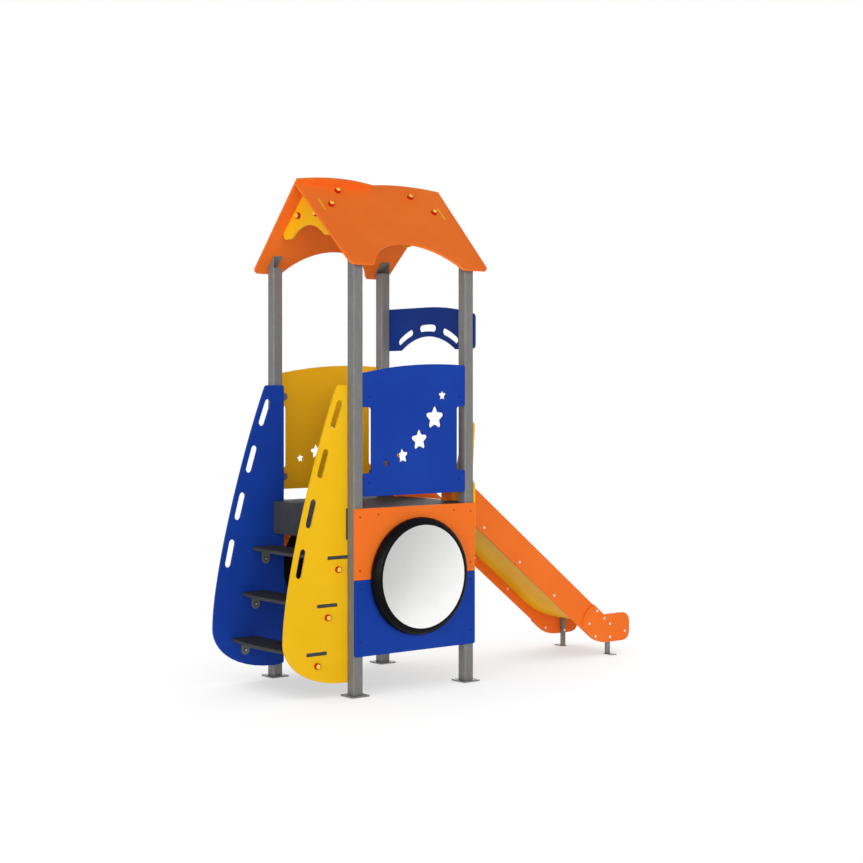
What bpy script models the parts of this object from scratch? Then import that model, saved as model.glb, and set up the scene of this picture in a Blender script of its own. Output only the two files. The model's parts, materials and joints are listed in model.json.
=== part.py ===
"""Multi-play structure: a small play tower with steps, a roof, mirror panels and a slide.

Lengths are in metres. +X runs from the steps to the slide, +Y from the front (the side with the
blue barrier) to the back, and +Z is up. Every piece is placed in the tower's own frame, whose
origin lies on the ground between the four posts. An empty carries that frame, and moves it so
that the world's origin lies under the middle of the whole structure.
"""
import math

import bmesh
import bpy
from mathutils import Matrix, Vector
from mathutils.geometry import tessellate_polygon

# Clearance between pieces that touch, and between a tenon and its slot
GAP = 0.0003

# Posts: square steel tubes with a welded base plate and a welded, sloped seat for the roof
POST_SPACING_X = 0.740
POST_SPACING_Y = 0.762
POST_SIDE = 0.060
POST_WALL = 0.003
POST_CORNER_RADIUS = 0.007
BASE_PLATE_SIDE = 0.110
BASE_PLATE_THICKNESS = 0.008
ROOF_SEAT_THICKNESS = 0.004
ROOF_SEAT_INSET = 0.001
POST_INNER_WALL_DROP = 0.064

# Boards: compact laminate, cut to outline
BOARD = 0.012

# Steps: three treads between two curved sides, four equal rises up to the deck
RISE = 0.2433
RISES = 4
TREAD_THICKNESS = 0.018
TREAD_CHAMFER = 0.002
TREAD_SHIFT = 0.065
TREAD_FIRST_X = -0.589
TREAD_TENON_DEPTH = 0.125
TREAD_BACK_SHOULDER = 0.006
TREAD_NOSE = 0.123
TREAD_NOSE_RADIUS = 1.600
TREAD_CORNER_RADIUS = 0.014

STEP_SIDE_TOP = 1.611
STEP_SIDE_TOP_X = -0.458
STEP_SIDE_TOP_LEAN = math.radians(22.2)
STEP_SIDE_TOP_PULL = 0.356
STEP_SIDE_BELLY_X = -0.790
STEP_SIDE_BELLY_Z = 0.298
STEP_SIDE_BELLY_PULL = 0.303
STEP_SIDE_HEEL_X = -0.3985
STEP_SIDE_HEEL_Z = 0.0703
STEP_SIDE_HEEL_PULL = 0.290
STEP_SIDE_TOE_PULL = 0.0905
STEP_SIDE_CORNER_RADIUS = 0.014
GRIP_SLOT_LENGTH = 0.154
GRIP_SLOT_WIDTH = 0.0385
GRIP_SLOT_INSET = 0.048
GRIP_SLOT_TOP_Z = 1.4775
GRIP_SLOT_PITCH_Z = 0.2553
GRIP_SLOTS = 4

# Deck, its frame and the fascia that closes the frame above the steps
DECK_THICKNESS = 0.018
BEAM_SIDE = 0.040
BEAM_WALL = 0.0025
JOIST_X = 0.230
FASCIA_HEIGHT = 0.177
FASCIA_TENON_INSET = 0.013
FASCIA_BELOW_DECK_TOP = 0.001
FASCIA_OUTER_X = 0.0063

# Lower panels on the posts' front and back faces, each pair with a mirror in a round hole
PANEL_BOTTOM = 0.207
PANEL_JOINT = 0.603
PANEL_JOINT_GAP = 0.0015
PANEL_TOP_BELOW_DECK = 0.001
PANEL_CORNER_RADIUS = 0.012
MIRROR_HOUSING_RADIUS = 0.297
MIRROR_RIM_RADIUS = 0.311
MIRROR_RIM_PROUD = 0.037
MIRROR_FRONT_PROUD = 0.069
MIRROR_RADIUS = 0.272
MIRROR_RECESS = 0.006
MIRROR_EDGE_THICKNESS = 0.003
MIRROR_BULGE = 0.006
HOUSING_WALL = 0.006
HOUSING_LEDGE = 0.012

# Barriers between the posts, with a star trail cut out
BARRIER_BOTTOM = 1.033
BARRIER_PEAK_Z = 1.7235
BARRIER_PEAK_X = 0.163
BARRIER_TOP_RADIUS = 2.580
BARRIER_CORNER_RADIUS = 0.012
GRIP_NOTCH_DEPTH = 0.056
GRIP_NOTCH_BOTTOM = 1.152
GRIP_NOTCH_TOP = 1.496
GRIP_NOTCH_RADIUS = 0.014
BARRIER_FIXING_Z = (1.103, 1.547)
# Each star: middle x, middle z, tip radius, tilt in degrees
STARS = (
    (0.1865, 1.556, 0.0347, 0.0),
    (0.135, 1.436, 0.079, 0.0),
    (0.0315, 1.3195, 0.0703, 3.0),
    (-0.0815, 1.237, 0.0505, 6.0),
    (-0.189, 1.201, 0.0295, 9.0),
)
STAR_WAIST = 0.47
STAR_TIP_SOFTNESS = 0.15

# Board on the slide side above the doorway, and the slide's entrance board
ARCH_HALF_WIDTH = 0.416
ARCH_TOP_MIDDLE = 2.051
ARCH_TOP_RADIUS = 1.720
ARCH_BOTTOM = 1.8095
ARCH_OPENING_HALF_WIDTH = 0.252
ARCH_OPENING_RISE = 0.077
ARCH_CORNER_RADIUS = 0.024
ARCH_SLOT_RADIUS = 0.480
ARCH_SLOT_MIDDLE_Z = 1.9345
ARCH_SLOT_WIDTH = 0.038
ARCH_SLOT_SPAN = math.radians(14.2)
ARCH_SLOT_PITCH = math.radians(25.4)
ENTRANCE_HALF_WIDTH = 0.4115
ENTRANCE_TOP = 1.414
ENTRANCE_CORNER_RADIUS = 0.030
ENTRANCE_WAIST_BOTTOM = 1.074
ENTRANCE_WAIST_Z = 1.094
ENTRANCE_WAIST_DEPTH = 0.026
ENTRANCE_WAIST_RADIUS = 0.025
ENTRANCE_CHEEK_CLEARANCE = 0.031
ENTRANCE_FLARE = 0.048
ENTRANCE_FLARE_BOTTOM = 1.120
ENTRANCE_FLARE_TOP = 1.300
ENTRANCE_FLARE_RADIUS = 0.090

# Slide: a bed between two sloped cheeks, overlaid end plates and two legs
CHEEK_OUTER_Y = 0.221
SLIDE_ANGLE = math.radians(38.6)
RUNOUT_ANGLE = math.radians(10.5)
BED_THICKNESS = 0.010
BED_BREAK_X = 0.484
BED_ENTRY_RADIUS = 0.200
RUNOUT_BREAK_X = 1.427
RUNOUT_RADIUS = 0.550
BED_END_X = 1.744
CHEEK_ABOVE_BED = 0.101
CHEEK_WIDTH = 0.164
CHEEK_BACK_X = 0.337
CHEEK_TOP = 1.165
CHEEK_TOP_RADIUS = 0.050
CHEEK_TAIL_X = 1.747
CHEEK_TAIL_INSET = 0.001
END_PLATE_X = 1.766
END_PLATE_TOP = 0.2455
END_PLATE_BOTTOM = 0.0785
END_PLATE_CORNER_RADIUS = 0.055
END_PLATE_TOE_RADIUS = 0.200
END_PLATE_BACK_RADIUS = 0.120
END_PLATE_BACK_X = 1.506
END_PLATE_BACK_Z = 0.192
SLIDE_LEG_SIDE = 0.025
SLIDE_LEG_WALL = 0.002
SLIDE_LEG_CORNER_RADIUS = 0.0045
SLIDE_LEG_X = 1.619
SLIDE_FOOT_LENGTH = 0.075
SLIDE_FOOT_WIDTH = 0.040
SLIDE_FOOT_THICKNESS = 0.005
SLIDE_FOOT_MARGIN = 0.002

# Roof: two boards at right angles, whose crowned halves pass each other at the ridge
ROOF_PITCH = math.radians(45.0)
ROOF_APEX = 2.6936
ROOF_HALF_TOP = 0.491
ROOF_CROWNED_END_TAPER = 0.021
ROOF_PLAIN_END_TAPER = 0.045
ROOF_SLOPE_LENGTH = 0.645
ROOF_CORNER_RADIUS = 0.030
ROOF_FOOT_INNER_RADIUS = 0.015
ROOF_ARCH_RADIUS = 0.3256
ROOF_ARCH_TOP = 0.459
ROOF_CROWN_AT_RIDGE_MIDDLE = 0.024
ROOF_CROWN_PEAK = 0.046
ROOF_CROWN_AT_END = 0.021

# Gables: yellow boards across the roof's two ends, tenoned through the roof boards
GABLE_INSET = 0.088
GABLE_TENON_START = 0.127
GABLE_TENON_END = 0.222
GABLE_FOOT_Y = 0.258
GABLE_FOOT_BELOW_APEX = 0.2906
GABLE_FOOT_RADIUS = 0.026
GABLE_ARCH_RADIUS = 0.220
GABLE_ARCH_BELOW_APEX = 0.2266

# Folded steel brackets with round ends
BRACKET_THICKNESS = 0.004
BRACKET_WIDTH = 0.042
BRACKET_BEND_RADIUS = 0.007
BRACKET_LONG_LEG = 0.073
BRACKET_SHORT_LEG = 0.046
BRACKET_RIDGE_LEG = 0.053
BRACKET_BARRIER_LEG = 0.061
TREAD_BRACKET_WIDTH = 0.052
TREAD_BRACKET_DROP = 0.0785
RIDGE_BRACKET_X = 0.243
GABLE_BRACKET_SLOPE = 0.165

# Numbers of segments along round edges, and the radius at which a corner gets twice as many
FILLET_SEGMENTS = 3
FINE_RADIUS = 0.100
END_SEGMENTS = 6
CURVE_SEGMENTS = 12
RING_SEGMENTS = 48
BEND_SEGMENTS = 2

# Places that follow from the sizes above
POST_X = POST_SPACING_X / 2
POST_Y = POST_SPACING_Y / 2
OUTER_X = POST_X + POST_SIDE / 2
INNER_X = POST_X - POST_SIDE / 2
OUTER_Y = POST_Y + POST_SIDE / 2
INNER_Y = POST_Y - POST_SIDE / 2
STEP_SIDE_INNER_Y = INNER_Y - GAP - BOARD
DECK_TOP = RISE * RISES
DECK_BOTTOM = DECK_TOP - DECK_THICKNESS
FASCIA_X = -(OUTER_X + FASCIA_OUTER_X)
PANEL_TOP = DECK_TOP - PANEL_TOP_BELOW_DECK
SLOPE_TANGENT = math.tan(SLIDE_ANGLE)
GABLE_X = ROOF_HALF_TOP - GABLE_INSET
GABLE_FOOT_BOTTOM = ROOF_APEX - GABLE_FOOT_BELOW_APEX
GABLE_ARCH_TOP = ROOF_APEX - GABLE_ARCH_BELOW_APEX
ORIGIN_X = (STEP_SIDE_BELLY_X + END_PLATE_X) / 2

AXIS_X = Vector((1, 0, 0))
AXIS_Y = Vector((0, 1, 0))
AXIS_Z = Vector((0, 0, 1))

# Finish of each material: colour, roughness, metallic
FINISHES = {
    "orange_board": ((0.855, 0.185, 0.026), 0.42, 0.0),
    "blue_board": ((0.011, 0.045, 0.318), 0.42, 0.0),
    "yellow_board": ((0.855, 0.497, 0.014), 0.42, 0.0),
    "galvanised_steel": ((0.235, 0.230, 0.222), 0.45, 0.55),
    "dark_steel": ((0.090, 0.090, 0.092), 0.50, 0.30),
    "deck_board": ((0.040, 0.036, 0.036), 0.70, 0.0),
    "slide_bed": ((0.680, 0.370, 0.020), 0.30, 0.0),
    "black_rubber": ((0.010, 0.010, 0.011), 0.45, 0.0),
    "mirror": ((0.830, 0.840, 0.840), 0.05, 1.0),
}


def clear_scene():
    """Removes what the scene holds, and gives the empty that carries the tower's frame."""
    for thing in list(bpy.data.objects):
        bpy.data.objects.remove(thing)
    tower = bpy.data.objects.new("tower_frame", None)
    tower.location = (-ORIGIN_X, 0, 0)
    bpy.context.collection.objects.link(tower)
    return tower


def make_materials():
    """One Principled material for each finish."""
    materials = {}
    for name, (colour, roughness, metallic) in FINISHES.items():
        material = bpy.data.materials.new(name)
        material.use_nodes = True
        shader = material.node_tree.nodes["Principled BSDF"]
        shader.inputs["Base Color"].default_value = (*colour, 1)
        shader.inputs["Roughness"].default_value = roughness
        shader.inputs["Metallic"].default_value = metallic
        material.diffuse_color = (*colour, 1)
        materials[name] = material
    return materials


TOWER = clear_scene()
MATERIALS = make_materials()


# Outlines: lists of points in a plane

def arc(middle, radius, start, end, segments):
    """Points along a circle from one angle to another, in radians, with both ends."""
    angles = [start + (end - start) * i / segments for i in range(segments + 1)]
    return [(middle[0] + radius * math.cos(a), middle[1] + radius * math.sin(a)) for a in angles]


def arc_through(first, middle, last, segments):
    """Points along the circle that passes through three points."""
    ax, ay = first
    bx, by = middle
    cx, cy = last
    twist = 2 * (ax * (by - cy) + bx * (cy - ay) + cx * (ay - by))
    a2, b2, c2 = ax * ax + ay * ay, bx * bx + by * by, cx * cx + cy * cy
    centre = (
        (a2 * (by - cy) + b2 * (cy - ay) + c2 * (ay - by)) / twist,
        (a2 * (cx - bx) + b2 * (ax - cx) + c2 * (bx - ax)) / twist,
    )
    start, halfway, end = (math.atan2(p[1] - centre[1], p[0] - centre[0]) for p in (first, middle, last))
    turn = 2 * math.pi
    halfway = start + (halfway - start + math.pi) % turn - math.pi
    end = halfway + (end - halfway + math.pi) % turn - math.pi
    return arc(centre, math.dist(centre, first), start, end, segments)


def bezier(start, start_pull, end_pull, end, segments):
    """Points along a cubic curve, with both ends."""
    points = []
    for i in range(segments + 1):
        t = i / segments
        weights = ((1 - t) ** 3, 3 * (1 - t) ** 2 * t, 3 * (1 - t) * t ** 2, t ** 3)
        corners = (start, start_pull, end_pull, end)
        points.append(tuple(sum(w * c[k] for w, c in zip(weights, corners)) for k in (0, 1)))
    return points


def rounded(corners, closed=True):
    """Outline through corners (x, y) or (x, y, radius), with each such corner rounded."""
    points = []
    count = len(corners)
    for i, corner in enumerate(corners):
        at_end = not closed and i in (0, count - 1)
        if at_end or len(corner) == 2 or corner[2] <= 0:
            points.append((corner[0], corner[1]))
            continue
        here = Vector(corner[:2])
        back = (Vector(corners[i - 1][:2]) - here).normalized()
        ahead = (Vector(corners[(i + 1) % count][:2]) - here).normalized()
        half = back.angle(ahead) / 2
        if half > math.pi / 2 - 1e-4:
            points.append((here.x, here.y))
            continue
        middle = here + (back + ahead).normalized() * corner[2] / math.sin(half)
        first = here + back * corner[2] / math.tan(half) - middle
        last = here + ahead * corner[2] / math.tan(half) - middle
        sweep = math.atan2(first.cross(last), first.dot(last))
        start = math.atan2(first.y, first.x)
        fineness = FILLET_SEGMENTS * (1 + corner[2] / FINE_RADIUS)
        segments = max(2, round(abs(sweep) / (math.pi / 2) * fineness))
        points += arc(middle, corner[2], start, start + sweep, segments)
    return points


def slot(middle, length, width, direction):
    """Round-ended slot around a point, along a direction given as an angle."""
    reach = (length - width) / 2
    along = Vector((math.cos(direction), math.sin(direction)))
    points = []
    for side in (1, -1):
        end = Vector(middle) + along * reach * side
        start = direction - side * math.pi / 2
        points += arc(end, width / 2, start, start + math.pi, END_SEGMENTS)
    return points


def ring_slot(middle, radius, width, centre_angle, span):
    """Slot that follows a circle, with round ends."""
    start = centre_angle - span / 2
    end = centre_angle + span / 2
    near, far = radius - width / 2, radius + width / 2
    tip_first = (middle[0] + radius * math.cos(start), middle[1] + radius * math.sin(start))
    tip_last = (middle[0] + radius * math.cos(end), middle[1] + radius * math.sin(end))
    points = arc(middle, far, start, end, CURVE_SEGMENTS // 2)
    points += arc(tip_last, width / 2, end, end + math.pi, END_SEGMENTS)[1:-1]
    points += arc(middle, near, end, start, CURVE_SEGMENTS // 2)
    points += arc(tip_first, width / 2, start + math.pi, start + 2 * math.pi, END_SEGMENTS)[1:-1]
    return points


def star(middle, tip_radius, tilt):
    """Five-pointed star with rounded tips."""
    corners = []
    for i in range(10):
        radius = tip_radius if i % 2 == 0 else tip_radius * STAR_WAIST
        angle = math.radians(90 + tilt) + i * math.pi / 5
        softness = tip_radius * STAR_TIP_SOFTNESS if i % 2 == 0 else 0
        corners.append((middle[0] + radius * math.cos(angle), middle[1] + radius * math.sin(angle), softness))
    return rounded(corners)


def box_outline(x0, x1, y0, y1, radius=0.0):
    """Rectangle with rounded corners."""
    return rounded([(x0, y0, radius), (x1, y0, radius), (x1, y1, radius), (x0, y1, radius)])


def mirrored(points):
    """The points with x turned round, in the opposite order."""
    return [(-x, *rest) for x, *rest in reversed(points)]


def turned_left(loop, wanted):
    """The loop, running anticlockwise if wanted and clockwise if not."""
    area = sum(a[0] * b[1] - b[0] * a[1] for a, b in zip(loop, loop[1:] + loop[:1]))
    return loop if (area > 0) == wanted else loop[::-1]


def inset(loop, distance):
    """The loop moved to its left by a distance."""
    moved = []
    for before, here, after in zip(loop[-1:] + loop[:-1], loop, loop[1:] + loop[:1]):
        first = (Vector(here) - Vector(before)).normalized()
        second = (Vector(after) - Vector(here)).normalized()
        normals = Vector((-first.y, first.x)), Vector((-second.y, second.x))
        mitre = (normals[0] + normals[1]) / (1 + normals[0].dot(normals[1]))
        moved.append((here[0] + mitre.x * distance, here[1] + mitre.y * distance))
    return moved


# Frames: where a flat outline stands in the tower

def frame(origin, across, up):
    """Matrix whose x runs across, y runs up and z runs out of the plane."""
    out = across.cross(up)
    rotation = Matrix((across, up, out)).transposed()
    return Matrix.Translation(origin) @ rotation.to_4x4()


def facing_front(y):
    """Upright plane along X: a board on it reaches from y towards the front."""
    return frame((0, y, 0), AXIS_X, AXIS_Z)


def facing_back(y):
    """Upright plane along X: a board on it reaches from y towards the back."""
    return frame((0, y, 0), -AXIS_X, AXIS_Z)


def facing_slide(x):
    """Upright plane along Y: a board on it reaches from x towards the slide."""
    return frame((x, 0, 0), AXIS_Y, AXIS_Z)


def level(z):
    """Flat plane: a board on it reaches from z upwards."""
    return frame((0, 0, z), AXIS_X, AXIS_Y)


# Solids

def finish_mesh(name, vertices, faces, smooth_angle=None):
    """Mesh with even triangles and its faces turned outwards, smooth below an angle if one is given."""
    mesh = bpy.data.meshes.new(name)
    mesh.from_pydata(vertices, [], faces)
    work = bmesh.new()
    work.from_mesh(mesh)
    inner_edges = [edge for edge in work.edges if all(len(face.verts) == 3 for face in edge.link_faces)]
    bmesh.ops.beautify_fill(work, faces=work.faces, edges=inner_edges, method="ANGLE")
    bmesh.ops.recalc_face_normals(work, faces=work.faces)
    work.to_mesh(mesh)
    work.free()
    if smooth_angle is not None:
        mesh.shade_smooth()
        mesh.set_sharp_from_angle(angle=smooth_angle)
    return mesh


def add_piece(name, mesh, placing, finish):
    """Object for a mesh, in the tower's frame."""
    piece = bpy.data.objects.new(name, mesh)
    piece.parent = TOWER
    piece.matrix_basis = placing
    mesh.materials.append(MATERIALS[finish])
    bpy.context.collection.objects.link(piece)
    return piece


def plate(name, outline, holes, thickness, placing, finish, chamfer=0.0):
    """Flat plate of an outline with holes, with its edges broken by a chamfer if one is given."""
    loops = [turned_left(outline, True)] + [turned_left(hole, False) for hole in holes]
    levels = [(chamfer, 0.0), (0.0, chamfer), (0.0, thickness - chamfer), (chamfer, thickness)]
    if chamfer <= 0:
        levels = [(0.0, 0.0), (0.0, thickness)]
    vertices = []
    rings = []
    for inward, height in levels:
        ring = []
        for loop in loops:
            ring.append(range(len(vertices), len(vertices) + len(loop)))
            vertices += [(x, y, height) for x, y in inset(loop, inward)]
        rings.append(ring)
    flat = [[Vector((x, y, 0)) for x, y in inset(loop, levels[0][0])] for loop in loops]
    count = sum(len(loop) for loop in loops)
    faces = []
    for triangle in tessellate_polygon(flat):
        faces.append(tuple(triangle))
        faces.append(tuple(i + count * (len(levels) - 1) for i in triangle))
    for lower, upper in zip(rings, rings[1:]):
        for low, high in zip(lower, upper):
            size = len(low)
            faces += [(low[i], low[(i + 1) % size], high[(i + 1) % size], high[i]) for i in range(size)]
    return add_piece(name, finish_mesh(name, vertices, faces), placing, finish)


def turned(name, profile, placing, finish):
    """Round piece: a profile of (radius, height) from the axis back to the axis, turned."""
    vertices = []
    rings = []
    for radius, height in profile:
        if radius < 1e-6:
            rings.append([len(vertices)] * RING_SEGMENTS)
            vertices.append((0, 0, height))
            continue
        rings.append(list(range(len(vertices), len(vertices) + RING_SEGMENTS)))
        for x, y in arc((0, 0), radius, 0, 2 * math.pi, RING_SEGMENTS)[:-1]:
            vertices.append((x, y, height))
    faces = []
    for low, high in zip(rings, rings[1:]):
        for i in range(RING_SEGMENTS):
            j = (i + 1) % RING_SEGMENTS
            corners = list(dict.fromkeys((low[i], low[j], high[j], high[i])))
            faces.append(tuple(corners))
    return add_piece(name, finish_mesh(name, vertices, faces, math.radians(40)), placing, finish)


def bracket(name, corner, along_first, along_second, legs, width=BRACKET_WIDTH):
    """Folded strip with round ends, in the inner corner between two faces.

    Its first leg runs from the corner along along_first and lies on the face that holds that
    line; its second leg runs along along_second.
    """
    first = along_first.normalized()
    second = along_second.normalized()
    across = first.cross(second)
    half = width / 2
    outer = BRACKET_BEND_RADIUS
    stations = []
    for leg, run, away in ((legs[0], first, second), (legs[1], second, first)):
        part = []
        for i in range(END_SEGMENTS + 1):
            angle = math.pi / 2 * i / END_SEGMENTS
            distance = leg - half + half * math.cos(angle)
            part.append((run * distance + away * GAP, away, half * math.sin(angle)))
        stations.append(part)
    bend = []
    middle = (first + second) * (GAP + outer)
    for i in range(BEND_SEGMENTS + 1):
        angle = math.pi / 2 * i / BEND_SEGMENTS
        inward = first * math.sin(angle) + second * math.cos(angle)
        bend.append((middle - inward * outer, inward, half))
    path = stations[0] + bend + stations[1][::-1]
    vertices = []
    sections = []
    for point, inward, reach in path:
        section = []
        for depth in (0.0, BRACKET_THICKNESS):
            sides = (1,) if reach < 1e-6 else (1, -1)
            found = []
            for side in sides:
                found.append(len(vertices))
                vertices.append(point + inward * depth + across * reach * side)
            section.append((found[0], found[-1]))
        sections.append(section)
    faces = []
    for here, there in zip(sections, sections[1:]):
        (a, b), (c, d) = here
        (e, f), (g, h) = there
        for corners in ((a, b, f, e), (c, g, h, d), (a, e, g, c), (b, d, h, f)):
            faces.append(tuple(dict.fromkeys(corners)))
    mesh = finish_mesh(name, vertices, faces, math.radians(35))
    return add_piece(name, mesh, Matrix.Translation(corner), "dark_steel")


def change(piece, operation, tool):
    """Cuts a tool away from a piece, or joins it on, with a Boolean modifier."""
    tool.hide_render = True
    tool.display_type = "WIRE"
    modifier = piece.modifiers.new(tool.name, "BOOLEAN")
    modifier.operation = operation
    modifier.solver = "EXACT"
    modifier.object = tool


def square_tube(name, side, wall, corner_radius, length, placing, finish):
    """Square tube around the local z axis, open at both ends."""
    half = side / 2
    inner = half - wall
    outline = box_outline(-half, half, -half, half, corner_radius)
    bore = box_outline(-inner, inner, -inner, inner, max(corner_radius - wall, 0.001))
    return plate(name, outline, [bore], length, placing, finish)


# Tower frame

def roof_inner_height(y):
    """Height of the roof boards' lower faces above a place."""
    return ROOF_APEX - BOARD / math.cos(ROOF_PITCH) - abs(y) * math.tan(ROOF_PITCH)


def make_post(name, side_x, side_y):
    """Post with its base plate, whose two outer walls rise to a sloped seat under the roof."""
    x, y = side_x * POST_X, side_y * POST_Y
    half = POST_SIDE / 2
    seat_drop = (GAP + ROOF_SEAT_THICKNESS) / math.cos(ROOF_PITCH)
    top = roof_inner_height(INNER_Y)
    weld_overlap = ROOF_SEAT_THICKNESS / 2
    foot = BASE_PLATE_THICKNESS / 2
    post = square_tube(name, POST_SIDE, POST_WALL, POST_CORNER_RADIUS, top - foot,
                       Matrix.Translation((x, y, foot)), "galvanised_steel")
    margin = 0.020
    slope_in = roof_inner_height(INNER_Y - margin) - seat_drop + weld_overlap
    slope_out = roof_inner_height(OUTER_Y + margin) - seat_drop + weld_overlap
    near, far = side_y * (INNER_Y - margin), side_y * (OUTER_Y + margin)
    above = top + 2 * margin
    wedge = plate(name + "_slope_cut", [(near, slope_in), (near, above), (far, above), (far, slope_out)],
                  [], POST_SIDE + 2 * margin, facing_slide(x - half - margin), "galvanised_steel")
    change(post, "DIFFERENCE", wedge)
    drop = roof_inner_height(INNER_Y) - POST_INNER_WALL_DROP - POST_WALL
    inner_x = (x - side_x * (half + margin), x + side_x * (half - POST_WALL))
    inner_y = (y - side_y * (half + margin), y + side_y * (half - POST_WALL))
    notch = plate(name + "_inner_cut", box_outline(min(inner_x), max(inner_x), min(inner_y), max(inner_y)),
                  [], above - drop, level(drop), "galvanised_steel")
    change(post, "DIFFERENCE", notch)
    plate_half = BASE_PLATE_SIDE / 2
    base = plate(name + "_base", box_outline(-plate_half, plate_half, -plate_half, plate_half, 0.004),
                 [], BASE_PLATE_THICKNESS, Matrix.Translation((x, y, 0)), "galvanised_steel")
    change(post, "UNION", base)
    seat_ends = (INNER_Y + ROOF_SEAT_INSET, OUTER_Y - ROOF_SEAT_INSET)
    top_edge = [(side_y * v, roof_inner_height(v) - GAP / math.cos(ROOF_PITCH)) for v in seat_ends]
    low_edge = [(v, z - ROOF_SEAT_THICKNESS / math.cos(ROOF_PITCH)) for v, z in top_edge]
    seat = plate(name + "_seat", top_edge + low_edge[::-1], [], POST_SIDE - 2 * ROOF_SEAT_INSET,
                 facing_slide(x - half + ROOF_SEAT_INSET), "galvanised_steel")
    change(post, "UNION", seat)


def make_posts():
    """The four posts."""
    for place_x, side_x in (("steps", -1), ("slide", 1)):
        for place_y, side_y in (("front", -1), ("back", 1)):
            make_post(f"post_{place_x}_{place_y}", side_x, side_y)


def make_deck():
    """Deck board, notched round the posts and the step sides, on two beams and two joists."""
    west = FASCIA_X + BOARD + GAP
    step_y = STEP_SIDE_INNER_Y - GAP
    wide_x = INNER_X - GAP
    wide_y = OUTER_Y - GAP
    half = [(west, -step_y), (-wide_x, -step_y), (-wide_x, -wide_y), (wide_x, -wide_y),
            (wide_x, -INNER_Y + GAP), (OUTER_X, -INNER_Y + GAP)]
    outline = half + [(x, -y) for x, y in reversed(half)]
    plate("deck", outline, [], DECK_THICKNESS, level(DECK_BOTTOM), "deck_board")
    middle_z = DECK_BOTTOM - GAP - BEAM_SIDE / 2
    beam_y = OUTER_Y - GAP - BEAM_SIDE / 2
    for place, side in (("front", -1), ("back", 1)):
        placing = frame((-wide_x, side * beam_y, middle_z), AXIS_Y, AXIS_Z)
        square_tube("deck_beam_" + place, BEAM_SIDE, BEAM_WALL, 0.004, 2 * wide_x, placing, "galvanised_steel")
    joist_reach = beam_y - BEAM_SIDE / 2 - GAP
    for place, side in (("steps", -1), ("slide", 1)):
        placing = frame((side * JOIST_X, joist_reach, middle_z), AXIS_X, AXIS_Z)
        square_tube("deck_joist_" + place, BEAM_SIDE, BEAM_WALL, 0.004, 2 * joist_reach, placing,
                    "galvanised_steel")


# Steps

def tread_middle(number):
    """Middle of a tread's tenons along X."""
    return TREAD_FIRST_X + TREAD_SHIFT * (number - 1)


def tenon_slots():
    """Slots in the step sides for the treads' and the fascia's tenons."""
    slots = []
    for number in range(1, RISES):
        middle = tread_middle(number)
        reach = TREAD_TENON_DEPTH / 2 + GAP
        top = RISE * number
        slots.append(box_outline(middle - reach, middle + reach, top - TREAD_THICKNESS - GAP, top + GAP))
    low, high = fascia_tenon_heights()
    slots.append(box_outline(FASCIA_X - GAP, FASCIA_X + BOARD + GAP, low - GAP, high + GAP))
    return slots


def fascia_tenon_heights():
    """Lowest and highest height of the fascia's tenons."""
    return DECK_TOP - FASCIA_HEIGHT + FASCIA_TENON_INSET, DECK_TOP - FASCIA_BELOW_DECK_TOP


def step_side_front_edge():
    """Curve of a step side's leading edge, from its top to its belly."""
    start = Vector((STEP_SIDE_TOP_X, STEP_SIDE_TOP))
    lean = Vector((-math.sin(STEP_SIDE_TOP_LEAN), -math.cos(STEP_SIDE_TOP_LEAN)))
    belly = Vector((STEP_SIDE_BELLY_X, STEP_SIDE_BELLY_Z))
    end_pull = belly + Vector((0, STEP_SIDE_BELLY_PULL))
    return bezier(start, start + lean * STEP_SIDE_TOP_PULL, end_pull, belly, 2 * CURVE_SEGMENTS)


def grip_slots():
    """Hand slots that follow a step side's leading edge at a constant inset."""
    edge = step_side_front_edge()
    slots = []
    for i in range(GRIP_SLOTS):
        height = GRIP_SLOT_TOP_Z - GRIP_SLOT_PITCH_Z * i
        for above, below in zip(edge, edge[1:]):
            if above[1] >= height > below[1]:
                share = (above[1] - height) / (above[1] - below[1])
                point = Vector(above).lerp(Vector(below), share)
                run = (Vector(above) - Vector(below)).normalized()
                middle = point + Vector((run.y, -run.x)) * GRIP_SLOT_INSET
                slots.append(slot(middle, GRIP_SLOT_LENGTH, GRIP_SLOT_WIDTH, math.atan2(run.y, run.x)))
    return slots


def make_step_sides():
    """Curved boards on the steps' two sides, from above the deck's edge nearly to the ground."""
    belly = (STEP_SIDE_BELLY_X, STEP_SIDE_BELLY_Z)
    heel = (STEP_SIDE_HEEL_X, STEP_SIDE_HEEL_Z)
    lower = bezier(belly, (belly[0], belly[1] - STEP_SIDE_TOE_PULL), (heel[0] - STEP_SIDE_HEEL_PULL, heel[1]),
                   heel, CURVE_SEGMENTS)
    right = -INNER_X
    radius = STEP_SIDE_CORNER_RADIUS
    front_edge = step_side_front_edge()
    corners = [(x, z) for x, z in front_edge[1:] + lower[1:]]
    corners += [(right, heel[1] + radius / 2, radius), (right, STEP_SIDE_TOP, radius)]
    corners += [(*front_edge[0], radius)]
    outline = rounded(corners)
    holes = grip_slots() + tenon_slots()
    plate("step_side_front", outline, holes, BOARD, facing_front(-STEP_SIDE_INNER_Y), "yellow_board")
    plate("step_side_back", outline, holes, BOARD, facing_front(STEP_SIDE_INNER_Y + BOARD), "blue_board")


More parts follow.
